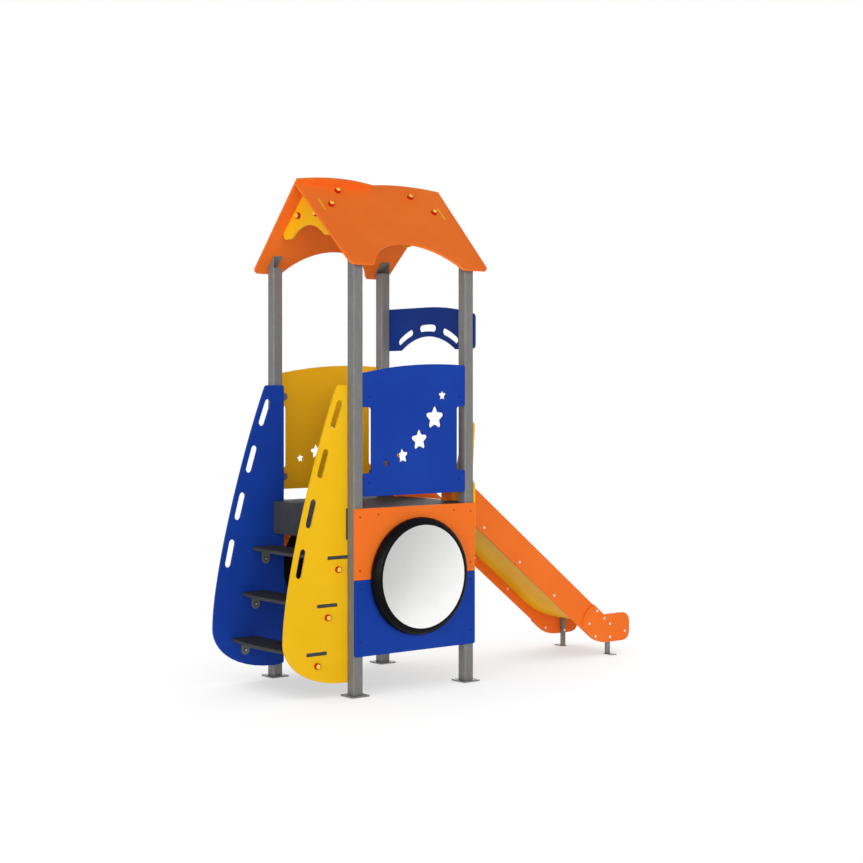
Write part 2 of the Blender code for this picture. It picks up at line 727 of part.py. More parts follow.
def tread_outline(middle):
    """Plan of a tread: a slightly bowed nose between round corners, and a tenon at each end."""
    half = STEP_SIDE_INNER_Y - GAP
    tip = half + BOARD
    centre_x = middle - TREAD_NOSE + TREAD_NOSE_RADIUS
    join = math.asin(half / TREAD_NOSE_RADIUS)
    corner_x = centre_x - TREAD_NOSE_RADIUS * math.cos(join)
    tenon_front = middle - TREAD_TENON_DEPTH / 2
    tenon_back = middle + TREAD_TENON_DEPTH / 2
    back = tenon_back + TREAD_BACK_SHOULDER
    nose = arc((centre_x, 0), TREAD_NOSE_RADIUS, math.pi, math.pi - join, CURVE_SEGMENTS // 2)
    upper = nose[:-1] + [(corner_x, half, TREAD_CORNER_RADIUS), (tenon_front, half), (tenon_front, tip),
                         (tenon_back, tip), (tenon_back, half), (back, half)]
    lower = [(x, -y, *radius) for x, y, *radius in reversed(upper[1:])]
    return rounded(upper + lower)


def make_treads():
    """Three treads, each held by two brackets under it."""
    for number in range(1, RISES):
        middle = tread_middle(number)
        bottom = RISE * number - TREAD_THICKNESS
        plate(f"tread_{number}", tread_outline(middle), [], TREAD_THICKNESS, level(bottom), "deck_board",
              TREAD_CHAMFER)
        for place, side in (("front", -1), ("back", 1)):
            corner = (middle, side * STEP_SIDE_INNER_Y, bottom)
            bracket(f"tread_bracket_{number}_{place}", corner, AXIS_Y * -side, -AXIS_Z,
                    (BRACKET_SHORT_LEG, TREAD_BRACKET_DROP), TREAD_BRACKET_WIDTH)


def make_fascia():
    """Board that closes the deck's frame above the steps, tenoned into the step sides."""
    half = STEP_SIDE_INNER_Y - GAP
    tip = half + BOARD
    bottom = DECK_TOP - FASCIA_HEIGHT
    low, high = fascia_tenon_heights()
    right = [(half, bottom), (half, low), (tip, low), (tip, high)]
    outline = right + mirrored(right)
    plate("step_fascia", outline, [], BOARD, facing_slide(FASCIA_X), "deck_board", 0.0)


# Lower panels and mirrors

def make_lower_panels():
    """Orange panel over a blue one on the front and back faces, around a mirror's round hole."""
    hole = MIRROR_HOUSING_RADIUS + GAP
    joint_top = PANEL_JOINT + PANEL_JOINT_GAP / 2
    joint_bottom = PANEL_JOINT - PANEL_JOINT_GAP / 2
    half_ring = arc((0, PANEL_JOINT), hole, 0, math.pi, RING_SEGMENTS // 2)[1:-1]
    over = [(hole, joint_top)] + half_ring + [(-hole, joint_top)]
    under = [(x, 2 * PANEL_JOINT - z) for x, z in reversed(over)]
    radius = PANEL_CORNER_RADIUS
    upper = [(-OUTER_X, PANEL_TOP), (-OUTER_X, joint_top)] + over[::-1] + [(OUTER_X, joint_top), (OUTER_X, PANEL_TOP)]
    lower = rounded([(-OUTER_X, joint_bottom)] + under
                    + [(OUTER_X, joint_bottom), (OUTER_X, PANEL_BOTTOM, radius), (-OUTER_X, PANEL_BOTTOM, radius)])
    front = facing_front(-OUTER_Y - GAP)
    back = facing_front(OUTER_Y + GAP + BOARD)
    for place, placing in (("front", front), ("back", back)):
        plate("upper_panel_" + place, upper, [], BOARD, placing, "orange_board")
        plate("lower_panel_" + place, lower, [], BOARD, placing, "blue_board")


def housing_profile():
    """Half section of a mirror's housing: heights count outwards from the panel's outer face."""
    body = MIRROR_HOUSING_RADIUS
    rim = MIRROR_RIM_RADIUS
    front = MIRROR_FRONT_PROUD
    seat = front - MIRROR_RECESS
    floor = -BOARD + HOUSING_WALL
    opening = MIRROR_RADIUS + GAP
    root = body + 0.002
    bulge = arc_through((root, GAP), (rim, MIRROR_RIM_PROUD), (opening + 0.013, front - 0.001), END_SEGMENTS)
    return [(0, -BOARD), (body, -BOARD), (body, GAP), *bulge, (opening + 0.004, front), (opening, front - 0.002),
            (opening, seat), (opening - HOUSING_LEDGE, seat), (opening - HOUSING_LEDGE, seat - HOUSING_WALL),
            (body - HOUSING_WALL, seat - 2 * HOUSING_WALL), (body - HOUSING_WALL, floor), (0, floor)]


def mirror_profile():
    """Half section of a mirror: a thin round sheet, slightly domed."""
    seat = MIRROR_FRONT_PROUD - MIRROR_RECESS + GAP
    edge = seat + MIRROR_EDGE_THICKNESS
    dome_radius = (MIRROR_RADIUS ** 2 + MIRROR_BULGE ** 2) / (2 * MIRROR_BULGE)
    steps = FILLET_SEGMENTS
    dome = []
    for i in range(steps + 1):
        radius = MIRROR_RADIUS * (1 - i / steps)
        rise = math.sqrt(dome_radius ** 2 - radius ** 2) - (dome_radius - MIRROR_BULGE)
        dome.append((radius, edge + rise))
    return [(0, seat), (MIRROR_RADIUS, seat), *dome]


def make_mirrors():
    """A round mirror in its housing, facing outwards on the front and on the back."""
    face = OUTER_Y + GAP + BOARD
    for place, placing in (("front", facing_front(-face)), ("back", facing_back(face))):
        middle = placing @ Matrix.Translation((0, PANEL_JOINT, 0))
        turned("mirror_housing_" + place, housing_profile(), middle, "black_rubber")
        turned("mirror_" + place, mirror_profile(), middle, "mirror")


# Barriers

def barrier_outline():
    """Barrier with a bowed top and a grip notch beside each post."""
    end = INNER_X - GAP
    centre = (BARRIER_PEAK_X, BARRIER_PEAK_Z - BARRIER_TOP_RADIUS)

    def top_height(x):
        """Height of the bowed top at a place."""
        return centre[1] + math.sqrt(BARRIER_TOP_RADIUS ** 2 - (x - centre[0]) ** 2)

    radius = BARRIER_CORNER_RADIUS
    notch = GRIP_NOTCH_RADIUS
    depth = end - GRIP_NOTCH_DEPTH
    right = [(end, BARRIER_BOTTOM, radius), (end, GRIP_NOTCH_BOTTOM, radius), (depth, GRIP_NOTCH_BOTTOM, notch),
             (depth, GRIP_NOTCH_TOP, notch), (end, GRIP_NOTCH_TOP, radius)]
    inner = end - 2 * radius
    steps = 2 * CURVE_SEGMENTS
    top = [(inner - 2 * inner * i / steps, top_height(inner - 2 * inner * i / steps)) for i in range(steps + 1)]
    corners = right + [(end, top_height(end), radius)] + top + [(-end, top_height(-end), radius)] + mirrored(right)
    return rounded(corners)


def make_barriers():
    """Barriers with star trails between the posts, each on four brackets."""
    stars = [star((x, z), tip, tilt) for x, z, tip, tilt in STARS]
    outline = barrier_outline()
    face = OUTER_Y - BOARD
    plate("barrier_front", outline, stars, BOARD, facing_front(-face), "blue_board")
    plate("barrier_back", outline, stars, BOARD, facing_front(OUTER_Y), "yellow_board")
    for place_y, side_y in (("front", -1), ("back", 1)):
        for place_x, side_x in (("steps", -1), ("slide", 1)):
            for place_z, height in zip(("lower", "upper"), BARRIER_FIXING_Z):
                corner = (side_x * INNER_X, side_y * face, height)
                bracket(f"barrier_bracket_{place_y}_{place_x}_{place_z}", corner, AXIS_X * -side_x,
                        AXIS_Y * -side_y, (BRACKET_BARRIER_LEG, BRACKET_SHORT_LEG))


def make_arch_board():
    """Board across the slide side, high above the doorway, with an arched lower edge."""
    half = ARCH_HALF_WIDTH
    top_centre = ARCH_TOP_MIDDLE - ARCH_TOP_RADIUS
    shoulder = half - 2 * ARCH_CORNER_RADIUS
    lean = math.asin(shoulder / ARCH_TOP_RADIUS)
    top = arc((0, top_centre), ARCH_TOP_RADIUS, math.pi / 2, math.pi / 2 + lean, CURVE_SEGMENTS)
    front_top = top_centre + math.sqrt(ARCH_TOP_RADIUS ** 2 - half ** 2)
    opening = ARCH_OPENING_HALF_WIDTH
    under = arc_through((-opening, ARCH_BOTTOM), (0, ARCH_BOTTOM + ARCH_OPENING_RISE), (opening, ARCH_BOTTOM),
                        2 * CURVE_SEGMENTS)
    radius = ARCH_CORNER_RADIUS
    outline = rounded([(half, ARCH_BOTTOM, radius), (half, ARCH_TOP_MIDDLE, radius)] + top
                      + [(-half, front_top, radius), (-half, ARCH_BOTTOM, radius)] + under)
    centre = (0, ARCH_SLOT_MIDDLE_Z - ARCH_SLOT_RADIUS)
    slots = [ring_slot(centre, ARCH_SLOT_RADIUS, ARCH_SLOT_WIDTH, math.pi / 2 + turn * ARCH_SLOT_PITCH,
                       ARCH_SLOT_SPAN) for turn in (-1, 0, 1)]
    plate("arch_board", outline, slots, BOARD, facing_slide(OUTER_X + GAP), "blue_board")


# Slide

def bed_height(x):
    """Height of the bed's straight slope, or of that line drawn on, at a place."""
    return DECK_TOP - (x - BED_BREAK_X) * SLOPE_TANGENT


def cheek_height(x, depth):
    """Height of the line that lies a depth below the cheek's sloped upper edge."""
    return bed_height(x) + (CHEEK_ABOVE_BED - depth) / math.cos(SLIDE_ANGLE)


def bed_line():
    """Upper face of the bed: level at the deck, straight down the slope, out along the run-out."""
    start = (OUTER_X + 2 * GAP, DECK_TOP)
    entry = (BED_BREAK_X, DECK_TOP, BED_ENTRY_RADIUS)
    runout = (RUNOUT_BREAK_X, bed_height(RUNOUT_BREAK_X), RUNOUT_RADIUS)
    fall = (BED_END_X - RUNOUT_BREAK_X) * math.tan(RUNOUT_ANGLE)
    end = (BED_END_X, bed_height(RUNOUT_BREAK_X) - fall)
    return rounded([start, entry, runout, end], closed=False)


def lower_face(line, thickness):
    """The line moved down, square to itself, by a thickness."""
    moved = []
    for i, here in enumerate(line):
        before = Vector(line[max(i - 1, 0)])
        after = Vector(line[min(i + 1, len(line) - 1)])
        run = (after - before).normalized()
        moved.append((here[0] + run.y * thickness, here[1] - run.x * thickness))
    return moved


def lower_edge_corner():
    """Where the cheek's lower edge meets the end plate's bottom line."""
    toe = BED_BREAK_X + (DECK_TOP + (CHEEK_ABOVE_BED - CHEEK_WIDTH) / math.cos(SLIDE_ANGLE)
                         - END_PLATE_BOTTOM) / SLOPE_TANGENT
    return toe, END_PLATE_BOTTOM


def top_edge_corner():
    """Where the cheek's upper edge meets the end plate's top line."""
    x = BED_BREAK_X + (DECK_TOP + CHEEK_ABOVE_BED / math.cos(SLIDE_ANGLE) - END_PLATE_TOP) / SLOPE_TANGENT
    return x, END_PLATE_TOP


def make_cheeks():
    """Sloped side boards of the slide, which stand on the deck's edge at their upper end."""
    outside = OUTER_X + BOARD + 2 * GAP
    rest = DECK_TOP + GAP
    top_x = BED_BREAK_X + (DECK_TOP + CHEEK_ABOVE_BED / math.cos(SLIDE_ANGLE) - CHEEK_TOP) / SLOPE_TANGENT
    hidden = CHEEK_TAIL_INSET
    toe_x, toe_z = lower_edge_corner()
    brow_x, brow_z = top_edge_corner()
    corners = [
        (CHEEK_BACK_X, rest),
        (outside, rest),
        (outside, cheek_height(outside, CHEEK_WIDTH)),
        (toe_x + hidden, toe_z + hidden, END_PLATE_TOE_RADIUS),
        (CHEEK_TAIL_X, toe_z + hidden, END_PLATE_CORNER_RADIUS),
        (CHEEK_TAIL_X, brow_z - hidden, END_PLATE_CORNER_RADIUS),
        (brow_x, brow_z - hidden),
        (brow_x - hidden, cheek_height(brow_x - hidden, 0)),
        (top_x, CHEEK_TOP, CHEEK_TOP_RADIUS),
        (CHEEK_BACK_X, CHEEK_TOP, CHEEK_TOP_RADIUS / 2),
    ]
    outline = rounded(corners)
    plate("slide_cheek_front", outline, [], BOARD, facing_front(-CHEEK_OUTER_Y + BOARD), "orange_board")
    plate("slide_cheek_back", outline, [], BOARD, facing_front(CHEEK_OUTER_Y), "orange_board")


def make_end_plates():
    """Plates over the cheeks' lower ends: round at the back, squared off at the slide's end."""
    centre = (END_PLATE_BACK_X, END_PLATE_BACK_Z)
    uphill = math.pi - SLIDE_ANGLE
    to_top = (cheek_height(END_PLATE_BACK_X, 0) - END_PLATE_BACK_Z) * math.cos(SLIDE_ANGLE)
    to_bottom = CHEEK_WIDTH - to_top
    start = uphill - math.asin(to_top / END_PLATE_BACK_RADIUS)
    end = uphill + math.asin(to_bottom / END_PLATE_BACK_RADIUS)
    back = arc(centre, END_PLATE_BACK_RADIUS, start, end, CURVE_SEGMENTS)
    radius = END_PLATE_CORNER_RADIUS
    outline = rounded(back + [
        (*lower_edge_corner(), END_PLATE_TOE_RADIUS),
        (END_PLATE_X, END_PLATE_BOTTOM, radius),
        (END_PLATE_X, END_PLATE_TOP, radius),
        top_edge_corner(),
    ])
    outer = CHEEK_OUTER_Y + GAP
    plate("slide_end_plate_front", outline, [], BOARD, facing_front(-outer), "orange_board")
    plate("slide_end_plate_back", outline, [], BOARD, facing_front(outer + BOARD), "orange_board")


def make_bed():
    """Slide bed between the cheeks."""
    line = bed_line()
    half = CHEEK_OUTER_Y - BOARD - GAP
    outline = line + lower_face(line, BED_THICKNESS)[::-1]
    plate("slide_bed", outline, [], 2 * half, facing_front(half), "slide_bed")


def make_slide_legs():
    """Two square legs under the run-out, each on a foot plate that reaches outwards."""
    leg_y = CHEEK_OUTER_Y - BOARD - GAP - SLIDE_LEG_SIDE / 2
    far_edge = SLIDE_LEG_X + SLIDE_LEG_SIDE / 2
    under_bed = bed_height(RUNOUT_BREAK_X) - (far_edge - RUNOUT_BREAK_X) * math.tan(RUNOUT_ANGLE)
    top = under_bed - BED_THICKNESS / math.cos(RUNOUT_ANGLE) - GAP
    foot = SLIDE_FOOT_THICKNESS / 2
    for place, side in (("front", -1), ("back", 1)):
        name = "slide_leg_" + place
        leg = square_tube(name, SLIDE_LEG_SIDE, SLIDE_LEG_WALL, SLIDE_LEG_CORNER_RADIUS, top - foot,
                          Matrix.Translation((SLIDE_LEG_X, side * leg_y, foot)), "galvanised_steel")
        inner = leg_y - SLIDE_LEG_SIDE / 2 - SLIDE_FOOT_MARGIN
        ends = sorted((side * inner, side * (inner + SLIDE_FOOT_LENGTH)))
        half = SLIDE_FOOT_WIDTH / 2
        base = plate(name + "_base", box_outline(SLIDE_LEG_X - half, SLIDE_LEG_X + half, *ends, 0.003), [],
                     SLIDE_FOOT_THICKNESS, level(0), "galvanised_steel")
        change(leg, "UNION", base)


def make_entrance():
    """Entrance board on the slide side: a sill below the bed and a waisted wing beside each cheek."""
    half = ENTRANCE_HALF_WIDTH
    opening = CHEEK_OUTER_Y + ENTRANCE_CHEEK_CLEARANCE
    flared = opening + ENTRANCE_FLARE
    sill = DECK_TOP - BED_THICKNESS - GAP
    bottom = DECK_TOP - FASCIA_HEIGHT
    radius = ENTRANCE_CORNER_RADIUS
    right = [
        (half, bottom, radius / 2),
        (half, ENTRANCE_WAIST_BOTTOM, radius / 2),
        (half - ENTRANCE_WAIST_DEPTH, ENTRANCE_WAIST_Z, ENTRANCE_WAIST_RADIUS),
        (half, ENTRANCE_TOP, radius),
        (flared, ENTRANCE_TOP, 2 * radius),
        (flared, ENTRANCE_FLARE_TOP, ENTRANCE_FLARE_RADIUS),
        (opening, ENTRANCE_FLARE_BOTTOM, ENTRANCE_FLARE_RADIUS),
        (opening, sill),
    ]
    outline = rounded(right + mirrored(right))
    plate("slide_entrance", outline, [], BOARD, facing_slide(OUTER_X + GAP), "yellow_board")


# Roof

def roof_frame(side):
    """Frame of a roof board's outer face: x along the ridge, y up the slope from the apex."""
    turn = Matrix.Rotation(0 if side < 0 else math.pi, 4, "Z")
    up = Vector((0, math.cos(ROOF_PITCH), math.sin(ROOF_PITCH)))
    return turn @ frame((0, 0, ROOF_APEX), AXIS_X, up)


def slope_point(side, distance, depth):
    """Point (y, z) on a roof slope: a distance down it and a depth under its outer face."""
    cos, sin = math.cos(ROOF_PITCH), math.sin(ROOF_PITCH)
    return side * (distance * cos - depth * sin), ROOF_APEX - distance * sin - depth * cos


def make_roof_boards():
    """Two like boards: over half the ridge each runs on past it as a crown, over the other it stops."""
    foot = -ROOF_SLOPE_LENGTH
    arch_middle = (0, -ROOF_ARCH_TOP - ROOF_ARCH_RADIUS)
    spring = math.acos((foot - arch_middle[1]) / ROOF_ARCH_RADIUS)
    inner_radius = ROOF_FOOT_INNER_RADIUS
    trim = inner_radius / ROOF_ARCH_RADIUS
    arch = arc(arch_middle, ROOF_ARCH_RADIUS, math.pi / 2 + spring - trim, math.pi / 2 - spring + trim,
               2 * CURVE_SEGMENTS)
    foot_inner = ROOF_ARCH_RADIUS * math.sin(spring) + inner_radius / 2
    crown = arc_through((ROOF_HALF_TOP, ROOF_CROWN_AT_END), (ROOF_HALF_TOP / 2, ROOF_CROWN_PEAK),
                        (GAP / 2, ROOF_CROWN_AT_RIDGE_MIDDLE), CURVE_SEGMENTS)
    stop = -BOARD - GAP
    corner = ROOF_CORNER_RADIUS
    plain_end = ROOF_HALF_TOP - ROOF_PLAIN_END_TAPER
    crowned_end = ROOF_HALF_TOP - ROOF_CROWNED_END_TAPER
    outline = rounded(
        [(-ROOF_HALF_TOP, stop), (-plain_end, foot, corner), (-foot_inner, foot, inner_radius / 2)]
        + arch
        + [(foot_inner, foot, inner_radius / 2), (crowned_end, foot, corner)]
        + crown
        + [(GAP / 2, stop)]
    )
    reach = BOARD / 2 + GAP
    slots = [box_outline(x - reach, x + reach, -GABLE_TENON_END - GAP, -GABLE_TENON_START + GAP)
             for x in (-GABLE_X, GABLE_X)]
    for place, side in (("front", -1), ("back", 1)):
        placing = roof_frame(side) @ Matrix.Translation((0, 0, -BOARD))
        plate("roof_board_" + place, outline, slots, BOARD, placing, "orange_board")


def make_gables():
    """Arched boards across the roof's ends, with a tenon through each roof board."""
    under = BOARD + GAP
    foot = GABLE_FOOT_Y / math.cos(ROOF_PITCH) - under
    arch_middle = (0, GABLE_ARCH_TOP - GABLE_ARCH_RADIUS)
    spring = math.acos((GABLE_FOOT_BOTTOM + 0.006 - arch_middle[1]) / GABLE_ARCH_RADIUS)
    arch = arc(arch_middle, GABLE_ARCH_RADIUS, math.pi / 2 + spring, math.pi / 2 - spring, CURVE_SEGMENTS)
    spring_y = GABLE_ARCH_RADIUS * math.sin(spring)
    radius = GABLE_FOOT_RADIUS
    right = [
        (spring_y + 0.016, GABLE_FOOT_BOTTOM, radius / 2),
        (GABLE_FOOT_Y - 1.2 * radius, GABLE_FOOT_BOTTOM, radius),
        (*slope_point(1, foot, under), radius / 2),
        slope_point(1, GABLE_TENON_END, under),
        slope_point(1, GABLE_TENON_END, 0),
        slope_point(1, GABLE_TENON_START, 0),
        slope_point(1, GABLE_TENON_START, under),
    ]
    apex = (0, ROOF_APEX - under / math.cos(ROOF_PITCH))
    outline = rounded(right + [apex] + mirrored(right) + arch)
    for place, side in (("steps", -1), ("slide", 1)):
        plate("gable_" + place, outline, [], BOARD, facing_slide(side * GABLE_X - BOARD / 2), "yellow_board")


def make_roof_brackets():
    """Brackets inside the ridge, and between each gable and each roof board."""
    down = Vector((0, -math.cos(ROOF_PITCH), -math.sin(ROOF_PITCH)))
    down_back = Vector((0, math.cos(ROOF_PITCH), -math.sin(ROOF_PITCH)))
    inner_ridge = ROOF_APEX - BOARD / math.cos(ROOF_PITCH)
    for place, side in (("steps", -1), ("slide", 1)):
        bracket("ridge_bracket_" + place, (side * RIDGE_BRACKET_X, 0, inner_ridge), down, down_back,
                (BRACKET_RIDGE_LEG, BRACKET_RIDGE_LEG))
        inner_face = side * (GABLE_X - BOARD / 2)
        for face, y_side, inward in (("front", -1, down_back), ("back", 1, down)):
            y, z = slope_point(y_side, GABLE_BRACKET_SLOPE, BOARD)
            bracket(f"gable_bracket_{place}_{face}", (inner_face, y, z), AXIS_X * -side, inward,
                    (BRACKET_LONG_LEG, BRACKET_LONG_LEG))


def main():
    """Builds the whole structure."""
    make_posts()
    make_deck()
    make_step_sides()
    make_treads()
    make_fascia()
    make_lower_panels()
    make_mirrors()
    make_barriers()
    make_arch_board()
    make_cheeks()
    make_end_plates()
    make_bed()
    make_slide_legs()
    make_entrance()
    make_roof_boards()
    make_gables()
    make_roof_brackets()


main()
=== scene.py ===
"""Looks of a small play tower: steps between bowed boards, mirror panels, a crowned roof and a slide.

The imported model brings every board, post and bracket. This script dresses them in their finishes, adds the
bolts, coloured caps and screws that hold them together, and sets the camera, the light and the pale floor.
Sizes are metres. Places are written in the tower's own frame, whose origin lies under the middle of the deck.
"""

import json
import logging
import math
from abc import ABC, abstractmethod
from dataclasses import asdict, dataclass, field, replace
from enum import Enum

import bmesh
import bpy
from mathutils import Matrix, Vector


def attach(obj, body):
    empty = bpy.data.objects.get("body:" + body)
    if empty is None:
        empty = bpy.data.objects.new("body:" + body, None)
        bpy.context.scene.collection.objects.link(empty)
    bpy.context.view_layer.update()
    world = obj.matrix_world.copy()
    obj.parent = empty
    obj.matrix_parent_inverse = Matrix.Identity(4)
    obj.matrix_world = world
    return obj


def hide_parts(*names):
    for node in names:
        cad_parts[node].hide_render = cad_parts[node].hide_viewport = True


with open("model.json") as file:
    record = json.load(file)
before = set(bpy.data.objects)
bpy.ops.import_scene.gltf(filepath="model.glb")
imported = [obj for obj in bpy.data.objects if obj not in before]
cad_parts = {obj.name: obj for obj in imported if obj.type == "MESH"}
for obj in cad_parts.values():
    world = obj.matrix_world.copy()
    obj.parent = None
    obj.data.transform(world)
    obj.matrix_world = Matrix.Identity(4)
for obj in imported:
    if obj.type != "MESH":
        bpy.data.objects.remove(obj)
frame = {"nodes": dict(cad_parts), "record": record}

LOG = logging.getLogger("play_tower")
TOWER_X = -0.488  # Middle of the deck in the model's frame
SIDES = (-1, 1)

Colour = tuple[float, float, float]
Point = tuple[float, float, float]
Place = tuple[Vector, Vector]
Spots = tuple[tuple[float, float], ...]
Socket = bpy.types.NodeSocket


class Side(Enum):
    """The two long sides of the tower along Y."""

    FRONT = -1
    BACK = 1


def srgb(red: int, green: int, blue: int) -> Colour:
    """Turns an 8-bit screen colour into the linear values that shaders use.

    Args:
        red: Red from 0 to 255.
        green: Green from 0 to 255.
        blue: Blue from 0 to 255.

    Returns:
        The linear red, green and blue.
    """
    def linear(value: int) -> float:
        """Undoes the screen's curve for one channel."""
        share = value / 255
        return share / 12.92 if share <= 0.04045 else ((share + 0.055) / 1.055) ** 2.4

    return linear(red), linear(green), linear(blue)


def tower(x: float, y: float, z: float) -> Vector:
    """Moves a place from the tower's frame to the model's frame."""
    return Vector((x + TOWER_X, y, z))


def add_object(name: str, data: bpy.types.ID) -> bpy.types.Object:
    """Makes an object and puts it in the scene.

    Args:
        name: Name of the object.
        data: Its mesh, light or camera.

    Returns:
        The object.
    """
    thing = bpy.data.objects.new(name, data)
    bpy.context.scene.collection.objects.link(thing)
    return thing


# Node trees and finishes


class Graph:
    """A node tree with short ways to add and join its nodes."""

    def __init__(self, tree: bpy.types.NodeTree) -> None:
        """Takes the tree that the nodes go into."""
        self.tree = tree

    def add(self, kind: str, **properties: object) -> bpy.types.Node:
        """Adds a node.

        Args:
            kind: Blender's name of the node's type.
            properties: Properties to set on it.

        Returns:
            The node.
        """
        node = self.tree.nodes.new(kind)
        for name, value in properties.items():
            setattr(node, name, value)
        return node

    def link(self, source: Socket, target: Socket) -> None:
        """Joins two sockets."""
        self.tree.links.new(source, target)

    def feed(self, value: Socket | float | tuple, target: Socket) -> None:
        """Links a source to a socket, or sets a plain value on it.

        Args:
            value: Source socket or plain value.
            target: Socket that takes it.
        """
        if isinstance(value, bpy.types.NodeSocket):
            self.link(value, target)
        else:
            target.default_value = value

    def maths(self, operation: str, first: Socket, second: Socket | float) -> Socket:
        """Adds a maths node for two values.

        Args:
            operation: Blender's name of the operation.
            first: First value.
            second: Second value, as a socket or a number.

        Returns:
            The result.
        """
        node = self.add("ShaderNodeMath", operation=operation)
        self.link(first, node.inputs[0])
        self.feed(second, node.inputs[1])
        return node.outputs[0]

    def vector(self, operation: str, first: Socket, second: Socket | Point | None = None) -> Socket:
        """Adds a vector maths node.

        Args:
            operation: Blender's name of the operation.
            first: First vector.
            second: Second vector, where the operation takes one.

        Returns:
            The result, a number for a dot product or a length.
        """
        node = self.add("ShaderNodeVectorMath", operation=operation)
        self.link(first, node.inputs[0])
        if second is not None:
            self.feed(second, node.inputs[1])
        return node.outputs["Value" if operation in ("DOT_PRODUCT", "LENGTH") else "Vector"]

    def spread(self, source: Socket, low: float, high: float, to_low: float, to_high: float) -> Socket:
        """Maps a value's range to another one, smoothly and held at both ends.

        Args:
            source: Value to map.
            low: Value that becomes to_low.
            high: Value that becomes to_high.
            to_low: Result at low.
            to_high: Result at high.

        Returns:
            The mapped value.
        """
        node = self.add("ShaderNodeMapRange", interpolation_type="SMOOTHSTEP")
        for name, value in (("From Min", low), ("From Max", high), ("To Min", to_low), ("To Max", to_high)):
            node.inputs[name].default_value = value
        self.link(source, node.inputs["Value"])
        return node.outputs["Result"]


class Shader(Graph):
    """A material's nodes, which end in one surface shader."""

    EDGE_SAMPLES = 6
    EDGE_FULL = 0.80

    def __init__(self, name: str) -> None:
        """Makes an empty material.

        Args:
            name: Name of the material.
        """
        self.material = bpy.data.materials.new(name)
        self.material.use_nodes = True
        super().__init__(self.material.node_tree)
        self.tree.nodes.clear()
        output = self.add("ShaderNodeOutputMaterial")
        self.surface = self.add("ShaderNodeBsdfPrincipled")
        self.link(self.surface.outputs["BSDF"], output.inputs["Surface"])
        self.place = self.add("ShaderNodeTexCoord").outputs["Object"]

    def set(self, **values: float) -> None:
        """Sets plain values on the surface's own sockets, with underscores for spaces in their names."""
        for name, value in values.items():
            self.surface.inputs[name.replace("_", " ")].default_value = value

    def join(self, source: Socket, name: str) -> None:
        """Links a source to a named socket of the surface."""
        self.link(source, self.surface.inputs[name])

    def finish(self, colour: Socket, roughness: Socket, normal: Socket,
               **values: float) -> bpy.types.Material:
        """Joins the surface's colour, roughness and normal, and sets its plain values.

        Args:
            colour: Source of the colour.
            roughness: Source of the roughness.
            normal: Source of the normal.
            values: Plain values, as set takes them.

        Returns:
            The finished material.
        """
        for name, source in (("Base Color", colour), ("Roughness", roughness), ("Normal", normal)):
            self.join(source, name)
        self.set(**values)
        return self.material

    def stretched(self, scale: Point) -> Socket:
        """Scales the object's coordinates, so that a pattern runs along one axis.

        Args:
            scale: Factor along each axis.

        Returns:
            The scaled coordinates.
        """
        mapping = self.add("ShaderNodeMapping")
        mapping.inputs["Scale"].default_value = scale
        self.link(self.place, mapping.inputs["Vector"])
        return mapping.outputs["Vector"]

    def noise(self, scale: float, detail: float = 2.0, roughness: float = 0.5,
              place: Socket | None = None) -> Socket:
        """Adds a noise pattern.

        Args:
            scale: Cells for each metre.
            detail: Octaves of finer noise.
            roughness: Strength of each finer octave.
            place: Coordinates, or none for the object's own.

        Returns:
            The pattern's value, about 0.3 to 0.7.
        """
        node = self.add("ShaderNodeTexNoise")
        for name, value in (("Scale", scale), ("Detail", detail), ("Roughness", roughness)):
            node.inputs[name].default_value = value
        self.link(place or self.place, node.inputs["Vector"])
        return node.outputs["Fac"]

    def cells(self, scale: float, output: str = "Distance", place: Socket | None = None) -> Socket:
        """Adds a cell pattern.

        Args:
            scale: Cells for each metre.
            output: Name of the output to take.
            place: Coordinates, or none for the object's own.

        Returns:
            That output.
        """
        node = self.add("ShaderNodeTexVoronoi")
        node.inputs["Scale"].default_value = scale
        self.link(place or self.place, node.inputs["Vector"])
        return node.outputs[output]

    def blend(self, share: Socket, first: Colour | Socket, second: Colour | Socket) -> Socket:
        """Mixes two colours.

        Args:
            share: Share of the second colour, from 0 to 1.
            first: First colour, or a socket that gives it.
            second: Second colour, or a socket that gives it.

        Returns:
            The mixed colour.
        """
        node = self.add("ShaderNodeMix", data_type="RGBA")
        self.link(share, node.inputs["Factor"])
        for value, socket in ((first, node.inputs[6]), (second, node.inputs[7])):
            self.feed((*value, 1.0) if isinstance(value, tuple) else value, socket)
        return node.outputs[2]

    def product(self, first: Socket, second: Socket) -> Socket:
        """Multiplies two values."""
        return self.maths("MULTIPLY", first, second)

    def edge(self, radius: float) -> tuple[Socket, Socket]:
        """Rounds the sharp edges in the shading.

        Args:
            radius: Radius of the rounding.

        Returns:
            The rounded normal, and a value that is 0 on flat faces and rises at their edges.
        """
        bevel = self.add("ShaderNodeBevel", samples=self.EDGE_SAMPLES)
        bevel.inputs["Radius"].default_value = radius
        flat = self.add("ShaderNodeNewGeometry").outputs["Normal"]
        match = self.vector("DOT_PRODUCT", bevel.outputs["Normal"], flat)
        return bevel.outputs["Normal"], self.spread(match, 1.0, self.EDGE_FULL, 0.0, 1.0)

    def relief(self, height: Socket, depth: float, normal: Socket | None = None) -> Socket:
        """Turns a height pattern into a bumped normal.

        Args:
            height: Pattern from 0 to 1.
            depth: Height of the bumps in metres.
            normal: Normal that the bumps lie on, or none for the surface's own.

        Returns:
            The bumped normal.
        """
        node = self.add("ShaderNodeBump")
        node.inputs["Strength"].default_value = 1.0
        node.inputs["Distance"].default_value = depth
        self.link(height, node.inputs["Height"])
        if normal is not None:
            self.link(normal, node.inputs["Normal"])
        return node.outputs["Normal"]


